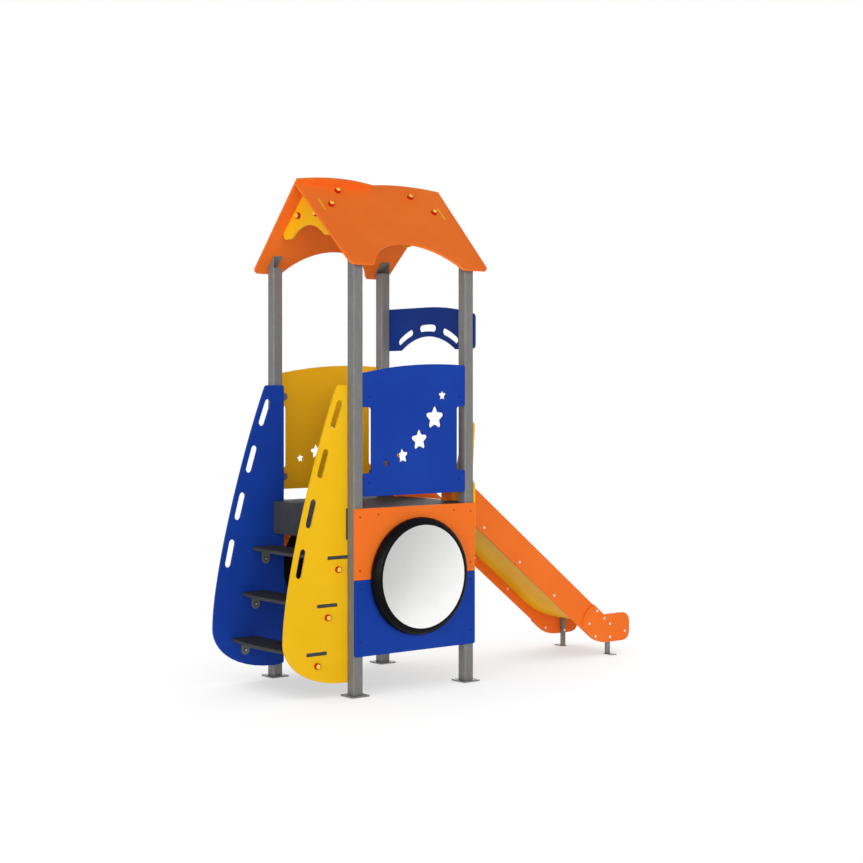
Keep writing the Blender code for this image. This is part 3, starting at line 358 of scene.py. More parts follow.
class Finish(ABC):
    """A finish that makes one material."""

    @abstractmethod
    def build(self) -> bpy.types.Material:
        """Makes the material."""


@dataclass(frozen=True)
class ColouredBoard(Finish):
    """Through-coloured play board with a fine grain and softly rounded edges."""

    name: str
    colour: Colour
    deep: Colour
    rub: Colour
    grain: float = 620.0
    grain_depth: float = 0.00007
    rounding: float = 0.0022
    gloss: float = 0.09

    def build(self) -> bpy.types.Material:
        """Makes the board's material.

        Returns:
            The material.
        """
        shader = Shader(self.name)
        normal, edge = shader.edge(self.rounding)
        cloud = shader.spread(shader.noise(3.1, 3.0, 0.55), 0.33, 0.67, 0.0, 1.0)
        grain = shader.noise(self.grain, 2.0, 0.5)
        face = shader.blend(cloud, self.deep, self.colour)
        scuff = shader.product(edge, shader.spread(shader.noise(38.0, 3.0, 0.6), 0.46, 0.62, 0.10, 0.60))
        return shader.finish(shader.blend(scuff, face, self.rub),
                             shader.spread(shader.noise(17.0, 4.0, 0.6), 0.30, 0.70, 0.43, 0.56),
                             shader.relief(grain, self.grain_depth, normal), Specular_IOR_Level=self.gloss)


@dataclass(frozen=True)
class ZincPost(Finish):
    """Hot-dip zinc with its faint spangle, drawn along the tube."""

    name: str = "galvanised_steel"
    light: Colour = srgb(126, 126, 125)
    dark: Colour = srgb(116, 116, 115)
    worn: Colour = srgb(142, 142, 140)
    spangle: float = 85.0
    rounding: float = 0.0010
    metal: float = 0.25
    gloss: float = 0.40

    def build(self) -> bpy.types.Material:
        """Makes the zinc's material.

        Returns:
            The material.
        """
        shader = Shader(self.name)
        normal, edge = shader.edge(self.rounding)
        drawn = shader.stretched((1.0, 1.0, 0.16))
        flake = shader.cells(self.spangle, "Color", shader.stretched((1.0, 1.0, 0.5)))
        grey = self.flake_value(shader, flake)
        streak = shader.noise(60.0, 4.0, 0.6, drawn)
        tone = shader.product(shader.spread(grey, 0.0, 1.0, 0.55, 1.0),
                              shader.spread(streak, 0.32, 0.68, 0.45, 1.0))
        face = shader.blend(tone, self.dark, self.light)
        return shader.finish(shader.blend(shader.product(edge, streak), face, self.worn),
                             shader.spread(tone, 0.2, 1.0, 0.62, 0.44),
                             shader.relief(shader.noise(210.0, 3.0, 0.6), 0.00008, normal),
                             Metallic=self.metal, Specular_IOR_Level=self.gloss)

    @staticmethod
    def flake_value(shader: Shader, colour: Socket) -> Socket:
        """Takes one channel of the spangle's random colour.

        Args:
            shader: The zinc's nodes.
            colour: The random colour.

        Returns:
            The channel's value.
        """
        node = shader.add("ShaderNodeSeparateColor")
        shader.link(colour, node.inputs["Color"])
        return node.outputs["Red"]


@dataclass(frozen=True)
class DarkCoat(Finish):
    """Dark powder coat on pressed brackets, a little rubbed at the edges."""

    name: str = "dark_steel"
    colour: Colour = srgb(110, 110, 113)
    worn: Colour = srgb(146, 146, 144)
    rounding: float = 0.0008
    metal: float = 0.25
    gloss: float = 0.45

    def build(self) -> bpy.types.Material:
        """Makes the coat's material.

        Returns:
            The material.
        """
        shader = Shader(self.name)
        normal, edge = shader.edge(self.rounding)
        patch = shader.spread(shader.noise(24.0, 3.0, 0.6), 0.30, 0.70, 0.0, 1.0)
        face = shader.blend(patch, tuple(0.86 * c for c in self.colour), self.colour)
        rub = shader.product(edge, shader.spread(shader.noise(90.0, 3.0, 0.6), 0.45, 0.62, 0.15, 0.85))
        return shader.finish(shader.blend(rub, face, self.worn), shader.spread(patch, 0.0, 1.0, 0.42, 0.52),
                             shader.relief(shader.noise(520.0, 2.0, 0.5), 0.00010, normal),
                             Metallic=self.metal, Specular_IOR_Level=self.gloss)


@dataclass(frozen=True)
class GripBoard(Finish):
    """Dark anti-slip board with small raised pips, a little paler in patches and at its edges."""

    name: str = "deck_board"
    colour: Colour = srgb(65, 66, 71)
    worn: Colour = srgb(82, 83, 86)
    pips: float = 150.0
    pip_height: float = 0.00045
    rounding: float = 0.0014
    gloss: float = 0.05

    def build(self) -> bpy.types.Material:
        """Makes the anti-slip board's material.

        Returns:
            The material.
        """
        shader = Shader(self.name)
        normal, edge = shader.edge(self.rounding)
        pip = shader.spread(shader.cells(self.pips), 0.22, 0.52, 1.0, 0.0)
        sanded = shader.noise(900.0, 2.0, 0.6)
        tread = shader.spread(shader.noise(9.0, 4.0, 0.6), 0.38, 0.66, 0.0, 0.40)
        face = shader.blend(tread, self.colour, self.worn)
        rub = shader.product(edge, shader.spread(shader.noise(45.0, 3.0, 0.6), 0.42, 0.60, 0.1, 0.8))
        return shader.finish(shader.blend(rub, face, self.worn), shader.spread(sanded, 0.3, 0.7, 0.60, 0.78),
                             shader.relief(sanded, 0.00012, shader.relief(pip, self.pip_height, normal)),
                             Specular_IOR_Level=self.gloss)


@dataclass(frozen=True)
class SlideSurface(Finish):
    """Smooth yellow slide bed, with a gloss that varies in long streaks."""

    name: str = "slide_bed"
    colour: Colour = srgb(240, 187, 28)
    deep: Colour = srgb(232, 174, 20)
    rounding: float = 0.0020
    gloss: float = 0.08

    def build(self) -> bpy.types.Material:
        """Makes the bed's material.

        Returns:
            The material.
        """
        shader = Shader(self.name)
        normal, _ = shader.edge(self.rounding)
        streak = shader.noise(70.0, 4.0, 0.6, shader.stretched((0.05, 1.0, 0.05)))
        cloud = shader.spread(shader.noise(4.0, 3.0, 0.5), 0.33, 0.67, 0.0, 1.0)
        return shader.finish(shader.blend(cloud, self.deep, self.colour),
                             shader.spread(streak, 0.32, 0.68, 0.34, 0.50),
                             shader.relief(streak, 0.00003, normal), Specular_IOR_Level=self.gloss)


@dataclass(frozen=True)
class RingRubber(Finish):
    """Black moulded rubber of the ring round each mirror."""

    name: str = "black_rubber"
    colour: Colour = srgb(10, 11, 13)
    dusty: Colour = srgb(20, 20, 22)
    gloss: float = 0.07

    def build(self) -> bpy.types.Material:
        """Makes the rubber's material.

        Returns:
            The material.
        """
        shader = Shader(self.name)
        dust = shader.spread(shader.noise(11.0, 4.0, 0.6), 0.40, 0.72, 0.0, 0.5)
        return shader.finish(shader.blend(dust, self.colour, self.dusty),
                             shader.spread(dust, 0.0, 0.5, 0.34, 0.50),
                             shader.relief(shader.noise(760.0, 2.0, 0.5), 0.00006),
                             Specular_IOR_Level=self.gloss)


@dataclass(frozen=True)
class MirrorSheet(Finish):
    """Bright metallised acrylic of the bulged play mirror, with the faintest haze."""

    name: str = "mirror"
    colour: Colour = srgb(250, 250, 249)
    hazy: Colour = srgb(246, 246, 245)

    def build(self) -> bpy.types.Material:
        """Makes the mirror's material.

        Returns:
            The material.
        """
        shader = Shader(self.name)
        haze = shader.noise(6.0, 4.0, 0.6)
        return shader.finish(shader.blend(shader.spread(haze, 0.35, 0.70, 0.0, 1.0), self.colour, self.hazy),
                             shader.spread(haze, 0.35, 0.75, 0.030, 0.070),
                             shader.relief(shader.noise(5.0, 1.0, 0.4), 0.00010), Metallic=1.0)


@dataclass(frozen=True)
class MouldedPlastic(Finish):
    """Moulded plastic of the bolt caps, and the coat of the coloured screws."""

    name: str
    colour: Colour
    roughness: float
    gloss: float

    def build(self) -> bpy.types.Material:
        """Makes the plastic's material.

        Returns:
            The material.
        """
        shader = Shader(self.name)
        shade = shader.spread(shader.noise(60.0, 3.0, 0.5), 0.3, 0.7, 0.0, 1.0)
        return shader.finish(shader.blend(shade, tuple(0.93 * c for c in self.colour), self.colour),
                             shader.spread(shade, 0.0, 1.0, self.roughness - 0.04, self.roughness + 0.06),
                             shader.relief(shader.noise(500.0, 2.0, 0.5), 0.00003),
                             Specular_IOR_Level=self.gloss)


@dataclass(frozen=True)
class BrightSteel(Finish):
    """Turned steel of the bolt heads, with fine tool marks."""

    name: str
    colour: Colour
    roughness: float
    metal: float

    def build(self) -> bpy.types.Material:
        """Makes the steel's material.

        Returns:
            The material.
        """
        shader = Shader(self.name)
        marks = shader.noise(400.0, 4.0, 0.6)
        shade = shader.spread(shader.noise(55.0, 2.0, 0.5), 0.3, 0.7, 0.0, 1.0)
        return shader.finish(shader.blend(shade, tuple(0.85 * c for c in self.colour), self.colour),
                             shader.spread(marks, 0.3, 0.7, self.roughness - 0.06, self.roughness + 0.10),
                             shader.relief(marks, 0.00004), Metallic=self.metal)


class FinishSet:
    """All finishes of the tower, made once and handed out by name."""

    def __init__(self) -> None:
        """Makes the materials of the boards, the metal, the rubber and the small fixings."""
        orange = ColouredBoard("orange_board", srgb(243, 118, 39), srgb(239, 113, 35), srgb(247, 142, 78))
        blue = ColouredBoard("blue_board", srgb(22, 63, 161), srgb(18, 58, 154), srgb(58, 90, 172))
        yellow = ColouredBoard("yellow_board", srgb(240, 189, 24), srgb(236, 184, 18), srgb(246, 204, 80))
        finishes: list[Finish] = [
            orange, blue, yellow,
            # Deeper copies of the blue and yellow boards: painted shade for boards in the tower's own shade.
            replace(blue, name="shaded_arch_blue_board", colour=srgb(20, 54, 135), deep=srgb(17, 49, 128)),
            replace(yellow, name="shaded_inner_yellow_board", colour=srgb(240, 180, 25), deep=srgb(235, 174, 20)),
            ZincPost(), DarkCoat(), GripBoard(), SlideSurface(), RingRubber(), MirrorSheet(),
            MouldedPlastic("cap_top", srgb(255, 214, 72), 0.34, 0.40),
            MouldedPlastic("cap_base", srgb(186, 26, 8), 0.40, 0.25),
            BrightSteel("bright_bolt", srgb(238, 236, 230), 0.30, 0.75),
            BrightSteel("dark_screw", srgb(46, 45, 46), 0.46, 0.4),
            BrightSteel("dull_rivet", srgb(104, 104, 104), 0.50, 0.3),
            # The coloured screws are darker than their boards: painted shade on their heads.
            MouldedPlastic("orange_screw", srgb(178, 74, 22), 0.50, 0.12),
            MouldedPlastic("blue_screw", srgb(17, 40, 112), 0.50, 0.12),
        ]
        self.materials = {finish.name: finish.build() for finish in finishes}

    def __getitem__(self, name: str) -> bpy.types.Material:
        """Gives one material by its name."""
        return self.materials[name]


# Bolts, caps and screws


@dataclass(frozen=True)
class HeadShape:
    """Sizes of one kind of fixing head, as it shows above the face that it is driven into."""

    material: str
    head_radius: float
    head_height: float
    skirt_radius: float
    skirt_height: float
    sides: int = 24
    domed: bool = True
    recess_radius: float = 0.0
    recess_depth: float = 0.0
    lift: float = 0.0


class HeadTree(Graph):
    """Geometry Nodes tree that sets one head, turned outwards, on every point of a mesh."""

    ROUND_SIDES = 24
    DOME_RINGS = 12
    KEY_SIDES = 6
    INPUTS = (
        *((label, "NodeSocketFloat") for label in ("Head Radius", "Head Height", "Skirt Radius", "Skirt Height",
                                                   "Lift", "Recess Radius", "Recess Depth")),
        ("Sides", "NodeSocketInt"), ("Domed", "NodeSocketBool"), ("Seed", "NodeSocketInt"),
        ("Finish", "NodeSocketMaterial"))

    def __init__(self) -> None:
        """Builds the tree once for all fixings."""
        super().__init__(bpy.data.node_groups.new("fixing_heads", "GeometryNodeTree"))
        interface = self.tree.interface
        interface.new_socket("Geometry", in_out="INPUT", socket_type="NodeSocketGeometry")
        for name, kind in self.INPUTS:
            interface.new_socket(name, in_out="INPUT", socket_type=kind)
        interface.new_socket("Geometry", in_out="OUTPUT", socket_type="NodeSocketGeometry")
        self.given = self.tree.nodes.new("NodeGroupInput").outputs
        head = self.cut_recess(self.head())
        joined = self.add("GeometryNodeJoinGeometry")
        self.link(self.skirt(), joined.inputs[0])
        self.link(head, joined.inputs[0])
        placed = self.place(self.moved(joined.outputs[0], self.given["Lift"]))
        realised = self.add("GeometryNodeRealizeInstances")
        self.link(placed, realised.inputs[0])
        dressed = self.add("GeometryNodeSetMaterial")
        self.link(realised.outputs[0], dressed.inputs["Geometry"])
        self.link(self.given["Finish"], dressed.inputs["Material"])
        self.link(dressed.outputs[0], self.add("NodeGroupOutput").inputs[0])

    def moved(self, geometry: Socket, height: Socket, stretch: Socket | None = None) -> Socket:
        """Moves a shape up.

        Args:
            geometry: The shape.
            height: Distance to move it.
            stretch: Factor on its height, or none to keep it.

        Returns:
            The moved shape.
        """
        node = self.add("GeometryNodeTransform")
        lift = self.add("ShaderNodeCombineXYZ")
        self.link(height, lift.inputs["Z"])
        self.link(geometry, node.inputs["Geometry"])
        self.link(lift.outputs[0], node.inputs["Translation"])
        if stretch is not None:
            scale = self.add("ShaderNodeCombineXYZ")
            for axis, factor in (("X", 1.0), ("Y", 1.0), ("Z", stretch)):
                self.feed(factor, scale.inputs[axis])
            self.link(scale.outputs[0], node.inputs["Scale"])
        return node.outputs[0]

    def prism(self, sides: Socket | int, radius: Socket, height: Socket) -> Socket:
        """Adds a closed prism centred on the origin.

        Args:
            sides: Number of its sides.
            radius: Radius to its corners.
            height: Its full height.

        Returns:
            The prism.
        """
        node = self.add("GeometryNodeMeshCylinder", fill_type="NGON")
        for name, value in (("Vertices", sides), ("Radius", radius), ("Depth", height)):
            self.feed(value, node.inputs[name])
        return node.outputs["Mesh"]

    def skirt(self) -> Socket:
        """Makes the flat round skirt or washer that lies on the board."""
        disc = self.prism(self.ROUND_SIDES, self.given["Skirt Radius"], self.given["Skirt Height"])
        return self.moved(disc, self.maths("MULTIPLY", self.given["Skirt Height"], 0.5))

    def head(self) -> Socket:
        """Makes the head on the skirt.

        Returns:
            A dome, or a prism with as many sides as asked.
        """
        flat = self.prism(self.given["Sides"], self.given["Head Radius"], self.given["Head Height"])
        half = self.maths("MULTIPLY", self.given["Head Height"], 0.5)
        block = self.moved(flat, self.maths("ADD", half, self.given["Skirt Height"]))
        ball = self.add("GeometryNodeMeshUVSphere")
        ball.inputs["Segments"].default_value = self.ROUND_SIDES
        ball.inputs["Rings"].default_value = self.DOME_RINGS
        self.link(self.given["Head Radius"], ball.inputs["Radius"])
        squeeze = self.maths("DIVIDE", self.given["Head Height"], self.given["Head Radius"])
        smooth = self.add("GeometryNodeSetShadeSmooth")
        self.link(ball.outputs["Mesh"], smooth.inputs[0])
        dome = self.moved(smooth.outputs[0], self.given["Skirt Height"], squeeze)
        switch = self.add("GeometryNodeSwitch", input_type="GEOMETRY")
        self.link(self.given["Domed"], switch.inputs["Switch"])
        self.link(block, switch.inputs["False"])
        self.link(dome, switch.inputs["True"])
        return switch.outputs[0]

    def cut_recess(self, head: Socket) -> Socket:
        """Cuts the six-sided key recess into the head's top.

        Args:
            head: The whole head.

        Returns:
            The head, cut where its recess has a depth.
        """
        depth = self.maths("MULTIPLY", self.given["Recess Depth"], 2.0)
        tool = self.prism(self.KEY_SIDES, self.given["Recess Radius"], depth)
        top = self.maths("ADD", self.given["Skirt Height"], self.given["Head Height"])
        cut = self.add("GeometryNodeMeshBoolean", operation="DIFFERENCE", solver="EXACT")
        self.link(head, cut.inputs["Mesh 1"])
        self.link(self.moved(tool, top), cut.inputs["Mesh 2"])
        wanted = self.add("FunctionNodeCompare", data_type="FLOAT", operation="GREATER_THAN")
        self.link(self.given["Recess Depth"], wanted.inputs[0])
        wanted.inputs[1].default_value = 0.0
        switch = self.add("GeometryNodeSwitch", input_type="GEOMETRY")
        self.link(wanted.outputs[0], switch.inputs["Switch"])
        self.link(head, switch.inputs["False"])
        self.link(cut.outputs["Mesh"], switch.inputs["True"])
        return switch.outputs[0]

    def place(self, fixing: Socket) -> Socket:
        """Sets the fixing on each point, along its outward direction and turned at random about it.

        Args:
            fixing: Skirt and head together.

        Returns:
            The instances.
        """
        facing = self.add("GeometryNodeInputNamedAttribute", data_type="FLOAT_VECTOR")
        facing.inputs["Name"].default_value = "facing"
        align = self.add("FunctionNodeAlignRotationToVector", axis="Z")
        self.link(facing.outputs["Attribute"], align.inputs["Vector"])
        angle = self.add("FunctionNodeRandomValue", data_type="FLOAT")
        angle.inputs[2].default_value = 0.0
        angle.inputs[3].default_value = math.tau
        self.link(self.given["Seed"], angle.inputs["Seed"])
        spin = self.add("FunctionNodeAxisAngleToRotation")
        spin.inputs["Axis"].default_value = (0.0, 0.0, 1.0)
        self.link(angle.outputs[1], spin.inputs["Angle"])
        turn = self.add("FunctionNodeRotateRotation", rotation_space="LOCAL")
        self.link(align.outputs[0], turn.inputs[0])
        self.link(spin.outputs[0], turn.inputs[1])
        instance = self.add("GeometryNodeInstanceOnPoints")
        self.link(self.given["Geometry"], instance.inputs["Points"])
        self.link(fixing, instance.inputs["Instance"])
        self.link(turn.outputs[0], instance.inputs["Rotation"])
        return instance.outputs[0]

    def scatter(self, name: str, places: list[Vector], facings: list[Vector], shape: HeadShape,
                material: bpy.types.Material, slot: str, seed: int) -> bpy.types.Object:
        """Makes one plain mesh with a head at every place.

        Args:
            name: Name of the piece.
            places: Points on the faces that the fixings sit on.
            facings: Outward direction at each point.
            shape: Kind of head.
            material: Material of the head.
            slot: Not used.
            seed: Seed of the random turn.

        Returns:
            The finished piece, riding on the tower.
        """
        points = bpy.data.meshes.new(name + "_points")
        points.from_pydata([tuple(p) for p in places], [], [])
        attribute = points.attributes.new("facing", "FLOAT_VECTOR", "POINT")
        for item, facing in zip(attribute.data, facings):
            item.vector = facing
        piece = add_object(name, points)
        modifier = piece.modifiers.new("heads", "NODES")
        modifier.node_group = self.tree
        sizes = asdict(shape)
        values = {label: sizes.get(label.lower().replace(" ", "_")) for label, _ in self.INPUTS}
        values |= {"Seed": seed, "Finish": material}
        for item in self.tree.interface.items_tree:
            if item.in_out == "INPUT" and item.name in values:
                modifier[item.identifier] = values[item.name]
        evaluated = piece.evaluated_get(bpy.context.evaluated_depsgraph_get())
        solid = bpy.data.meshes.new_from_object(evaluated)
        piece.modifiers.remove(modifier)
        piece.data = solid
        bpy.data.meshes.remove(points)
        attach(piece, "root")
        LOG.info("%s: %d fixings, %d faces", name, len(places), len(solid.polygons))
        return piece


CAP_BASE = HeadShape("cap_base", 0.0158, 0.0024, 0.0166, 0.0144)
CAP_TOP = HeadShape("cap_top", 0.0116, 0.0036, 0.0120, 0.0028, lift=0.0150)
ORANGE_SCREW = HeadShape("orange_screw", 0.0052, 0.0022, 0.0056, 0.0006, recess_radius=0.0024,
                         recess_depth=0.0014)
BLUE_SCREW = replace(ORANGE_SCREW, material="blue_screw")
SLIDE_BOLT = HeadShape("bright_bolt", 0.0068, 0.0034, 0.0078, 0.0010, recess_radius=0.0032,
                       recess_depth=0.0018)
BRACKET_WASHER = HeadShape("dark_screw", 0.0088, 0.0010, 0.0104, 0.0014, domed=False)
BRACKET_BOLT = HeadShape("bright_bolt", 0.0044, 0.0036, 0.0050, 0.0026, sides=6, domed=False)
FASCIA_BOLT = HeadShape("dark_screw", 0.0100, 0.0040, 0.0110, 0.0010, recess_radius=0.0045,
                        recess_depth=0.0022)
RIVET = HeadShape("dull_rivet", 0.0040, 0.0018, 0.0046, 0.0004)


@dataclass
class FixingGroup(ABC):
    """Fixings of one sub-assembly."""

    tree: HeadTree
    finishes: FinishSet
    name: str = "fixings"
    seed: int = 3

    @abstractmethod
    def build(self) -> list[bpy.types.Object]:
        """Makes the group's pieces."""

    def heads(self, label: str, shape: HeadShape, places: list[Place], slot: str) -> bpy.types.Object:
        """Makes the heads of one kind.

        Args:
            label: Ending of the piece's name.
            shape: Kind of head.
            places: Point and outward direction of each head.
            slot: The record's slot, handed on to scatter.

        Returns:
            The finished piece.
        """
        points = [point for point, _ in places]
        facings = [facing.normalized() for _, facing in places]
        return self.tree.scatter(f"{self.name}_{label}", points, facings, shape,
                                 self.finishes[shape.material], slot, self.seed)

    def caps(self, places: list[Place]) -> list[bpy.types.Object]:
        """Makes a red cap base with a yellow domed top at each place."""
        return [self.heads("cap_bases", CAP_BASE, places, "orange_board"),
                self.heads("cap_tops", CAP_TOP, places, "yellow_board")]


@dataclass
class RoofFixings(FixingGroup):
    """Caps on the roof boards and the gables."""

    name: str = "roof"
    apex: float = 2.6936
    cap_rows: Spots = ((0.2455, 0.0575), (0.347, 0.1785))
    gable_outer: float = 0.409
    gable_cap: tuple[float, float] = (0.085, 2.523)

    def slope(self, side: int, x: float, down: float) -> Place:
        """Finds a place on a roof board's outer face.

        Args:
            side: -1 for the front board, 1 for the back one.
            x: Place along the ridge.
            down: Distance from the ridge line down the face.

        Returns:
            The place, and the board's outward direction there.
        """
        outward = Vector((0.0, side * math.sqrt(0.5), math.sqrt(0.5)))
        downward = Vector((0.0, side * math.sqrt(0.5), -math.sqrt(0.5)))
        return tower(x, 0.0, self.apex) + downward * down, outward

    def build(self) -> list[bpy.types.Object]:
        """Makes the roof's caps.

        Returns:
            The finished pieces.
        """
        caps = [self.slope(side, end * x, down)
                for side in SIDES for x, down in self.cap_rows for end in SIDES]
        y, z = self.gable_cap
        caps += [(tower(end * self.gable_outer, side * y, z), Vector((end, 0.0, 0.0)))
                 for end in SIDES for side in SIDES]
        return self.caps(caps)


@dataclass
class StepFixings(FixingGroup):
    """Caps on the outer faces of the step sides, and the bolts inside their brackets."""

    name: str = "step"
    outer_y: float = 0.3507
    caps_at: Spots = ((-0.459, 0.6594), (-0.524, 0.4161), (-0.589, 0.1728))
    bracket_y: float = 0.3344
    fascia_bolt: Point = (-0.4063, 0.0, 0.900)

    def build(self) -> list[bpy.types.Object]:
        """Makes the steps' caps and bolts.

        Returns:
            The finished pieces.
        """
        caps = []
        bolts = []
        for side in SIDES:
            for x, z in self.caps_at:
                caps.append((tower(x, side * self.outer_y, z), Vector((0.0, side, 0.0))))
                bolts.append((tower(x, side * self.bracket_y, z), Vector((0.0, -side, 0.0))))
        pieces = self.caps(caps)
        pieces.append(self.heads("bracket_washers", BRACKET_WASHER, bolts, "dark_steel"))
        pieces.append(self.heads("bracket_bolts", BRACKET_BOLT, bolts, "galvanised_steel"))
        fascia = [(tower(*self.fascia_bolt), Vector((-1.0, 0.0, 0.0)))]
        pieces.append(self.heads("fascia_bolt", FASCIA_BOLT, fascia, "dark_steel"))
        return pieces


@dataclass
class PanelFixings(FixingGroup):
    """Small screws in darker tones of the lower panels' and the front barrier's colours, which paint the shade
    round their heads, and grey ones in the back barrier.
    """

    name: str = "panel"
    panel_y: float = 0.4233
    barrier_y: float = 0.411
    orange_screws: Spots = ((0.368, 0.928), (0.368, 0.651), (0.252, 0.937))
    blue_screws: Spots = ((0.368, 0.556), (0.368, 0.283))
    barrier_screws: Spots = ((0.300, 1.547), (0.300, 1.103))

    def row(self, places: Spots, face: float, sides: tuple[int, ...] = SIDES) -> list[Place]:
        """Repeats places at both ends of the faces on the given sides.

        Args:
            places: Distance from the middle and height of each screw.
            face: Distance of the face from the middle.
            sides: Sides that have the screws.

        Returns:
            Point and outward direction of each screw.
        """
        return [(tower(end * x, side * face, z), Vector((0.0, side, 0.0)))
                for side in sides for end in SIDES for x, z in places]

    def build(self) -> list[bpy.types.Object]:
        """Makes the panels' and the barriers' screws.

        Returns:
            The finished pieces.
        """
        orange = self.row(self.orange_screws, self.panel_y)
        blue = self.row(self.blue_screws, self.panel_y) + self.row(self.barrier_screws, self.barrier_y, (-1,))
        yellow = self.row(self.barrier_screws, self.barrier_y, (1,))
        return [self.heads("orange_screws", ORANGE_SCREW, orange, "orange_board"),
                self.heads("blue_screws", BLUE_SCREW, blue, "blue_board"),
                self.heads("back_screws", RIVET, yellow, "galvanised_steel")]


@dataclass
class SlideFixings(FixingGroup):
    """Bright bolts of the slide's cheeks and end plates."""

    name: str = "slide"
    cheek_outer: float = 0.221
    cheek_inner: float = 0.209
    plate_outer: float = 0.2333
    cheek_bolts: Spots = ((0.636, 0.810), (0.900, 0.599), (1.168, 0.3865))
    plate_bolts: Spots = (
        (1.500, 0.271), (1.561, 0.223), (1.435, 0.200), (1.486, 0.122), (1.605, 0.186), (1.605, 0.108),
        (1.729, 0.134))
    inner_bolts: Spots = ((0.660, 0.800), (0.924, 0.590), (1.181, 0.385), (1.487, 0.123))
    leg_inner: float = 0.1837
    leg_bolt: tuple[float, float] = (1.6215, 0.100)

    def build(self) -> list[bpy.types.Object]:
        """Makes the slide's bolts.

        Returns:
            The finished pieces.
        """
        bolts = []
        for side in SIDES:
            outward = Vector((0.0, side, 0.0))
            bolts += [(tower(x, side * self.cheek_outer, z), outward) for x, z in self.cheek_bolts]
            bolts += [(tower(x, side * self.plate_outer, z), outward) for x, z in self.plate_bolts]
            bolts += [(tower(x, side * self.cheek_inner, z), -outward) for x, z in self.inner_bolts]
            x, z = self.leg_bolt
            bolts.append((tower(x, side * self.leg_inner, z), -outward))
        return [self.heads("bolts", SLIDE_BOLT, bolts, "galvanised_steel")]


@dataclass
class PostFixings(FixingGroup):
    """Pairs of rivets near the top of each post."""

    name: str = "post"
    outer_x: float = 0.400
    post_y: float = 0.381
    heights: tuple[float, float] = (2.203, 2.177)

    def build(self) -> list[bpy.types.Object]:
        """Makes the posts' rivets.

        Returns:
            The finished pieces.
        """
        rivets = [(tower(end * self.outer_x, side * self.post_y, z), Vector((end, 0.0, 0.0)))
                  for end in SIDES for side in SIDES for z in self.heights]
        return [self.heads("rivets", RIVET, rivets, "galvanised_steel")]


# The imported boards, posts and brackets


@dataclass
class TowerFrame:
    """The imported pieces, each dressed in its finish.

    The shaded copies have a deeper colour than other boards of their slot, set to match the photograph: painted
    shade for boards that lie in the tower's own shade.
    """

    finishes: FinishSet
    slots: dict[str, str] = field(default_factory=dict)
    # Pieces that get a deeper copy of their board's finish, as painted shade.
    shaded_copies: tuple[tuple[str, str], ...] = (
        ("arch_board", "shaded_arch_blue_board"), ("barrier_back", "shaded_inner_yellow_board"),
        ("gable_steps", "shaded_inner_yellow_board"), ("gable_slide", "shaded_inner_yellow_board"))

    def build(self) -> None:
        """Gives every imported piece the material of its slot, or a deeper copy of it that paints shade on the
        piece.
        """
        for part in frame["record"]["subparts"]:
            self.slots[part["node"]] = part["material_slot"]
        self.slots.update(self.shaded_copies)
        for name, piece in frame["nodes"].items():
            material = self.finishes[self.slots[name]]
            if not piece.material_slots:
                piece.data.materials.append(material)
            for slot in piece.material_slots:
                slot.material = material
            LOG.info("%s: %s", name, material.name)


@dataclass
class DomedMirror:
    """Smooth bulged sheet of one mirror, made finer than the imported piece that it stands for."""

    finishes: FinishSet
    side: Side
    edge: float = 0.003
    bulge: float = 0.006
    rings: int = 24
    segments: int = 96

    def section(self, radius: float) -> list[tuple[float, float]]:
        """Lists the sheet's half section from its back edge to its middle.

        Args:
            radius: Radius of the sheet.

        Returns:
            Radius and height above the seat of each ring.
        """
        ball = (radius ** 2 + self.bulge ** 2) / (2 * self.bulge)
        section = [(radius, 0.0)]
        for ring in range(self.rings):
            reach = radius * (1 - ring / self.rings)
            rise = math.sqrt(ball ** 2 - reach ** 2) - (ball - self.bulge)
            section.append((reach, self.edge + rise))
        return section

    def build(self) -> bpy.types.Object:
        """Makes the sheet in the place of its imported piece.

        Returns:
            The finished sheet, riding on the tower.
        """
        node = f"mirror_{self.side.name.lower()}"
        packed = frame["nodes"][node]
        places = [packed.matrix_world @ vertex.co for vertex in packed.data.vertices]
        low, high = (Vector([pick(place[axis] for place in places) for axis in range(3)])
                     for pick in (min, max))
        middle = (low + high) / 2
        out = self.side.value
        seat = low.y if out > 0 else high.y
        section = self.section((high.x - low.x) / 2)
        points = [(middle.x + radius * math.cos(math.tau * turn / self.segments), seat + out * height,
                   middle.z + radius * math.sin(math.tau * turn / self.segments))
                  for radius, height in section for turn in range(self.segments)]
        points.append((middle.x, seat + out * (self.edge + self.bulge), middle.z))
        steps = [(turn, (turn + 1) % self.segments) for turn in range(self.segments)]
        faces = [tuple(range(self.segments))]
        for ring in range(self.rings):
            start = ring * self.segments
            above = start + self.segments
            faces += [(start + a, start + b, above + b, above + a) for a, b in steps]
        last = self.rings * self.segments
        faces += [(last + a, last + b, len(points) - 1) for a, b in steps]
        mesh = bpy.data.meshes.new(f"{node}_sheet")
        mesh.from_pydata(points, [], faces)
        shell = bmesh.new()
        shell.from_mesh(mesh)
        bmesh.ops.recalc_face_normals(shell, faces=shell.faces)
        shell.to_mesh(mesh)
        shell.free()
        for polygon in mesh.polygons:
            polygon.use_smooth = polygon.index > self.segments
        for edge in mesh.edges:
            edge.use_edge_sharp = max(edge.vertices) < 2 * self.segments
        sheet = add_object(f"{node}_sheet", mesh)
        mesh.materials.append(self.finishes["mirror"])
        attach(sheet, "root")
        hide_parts(node)
        LOG.info("%s: %d faces", sheet.name, len(mesh.polygons))
        return sheet


# Floor, light and camera


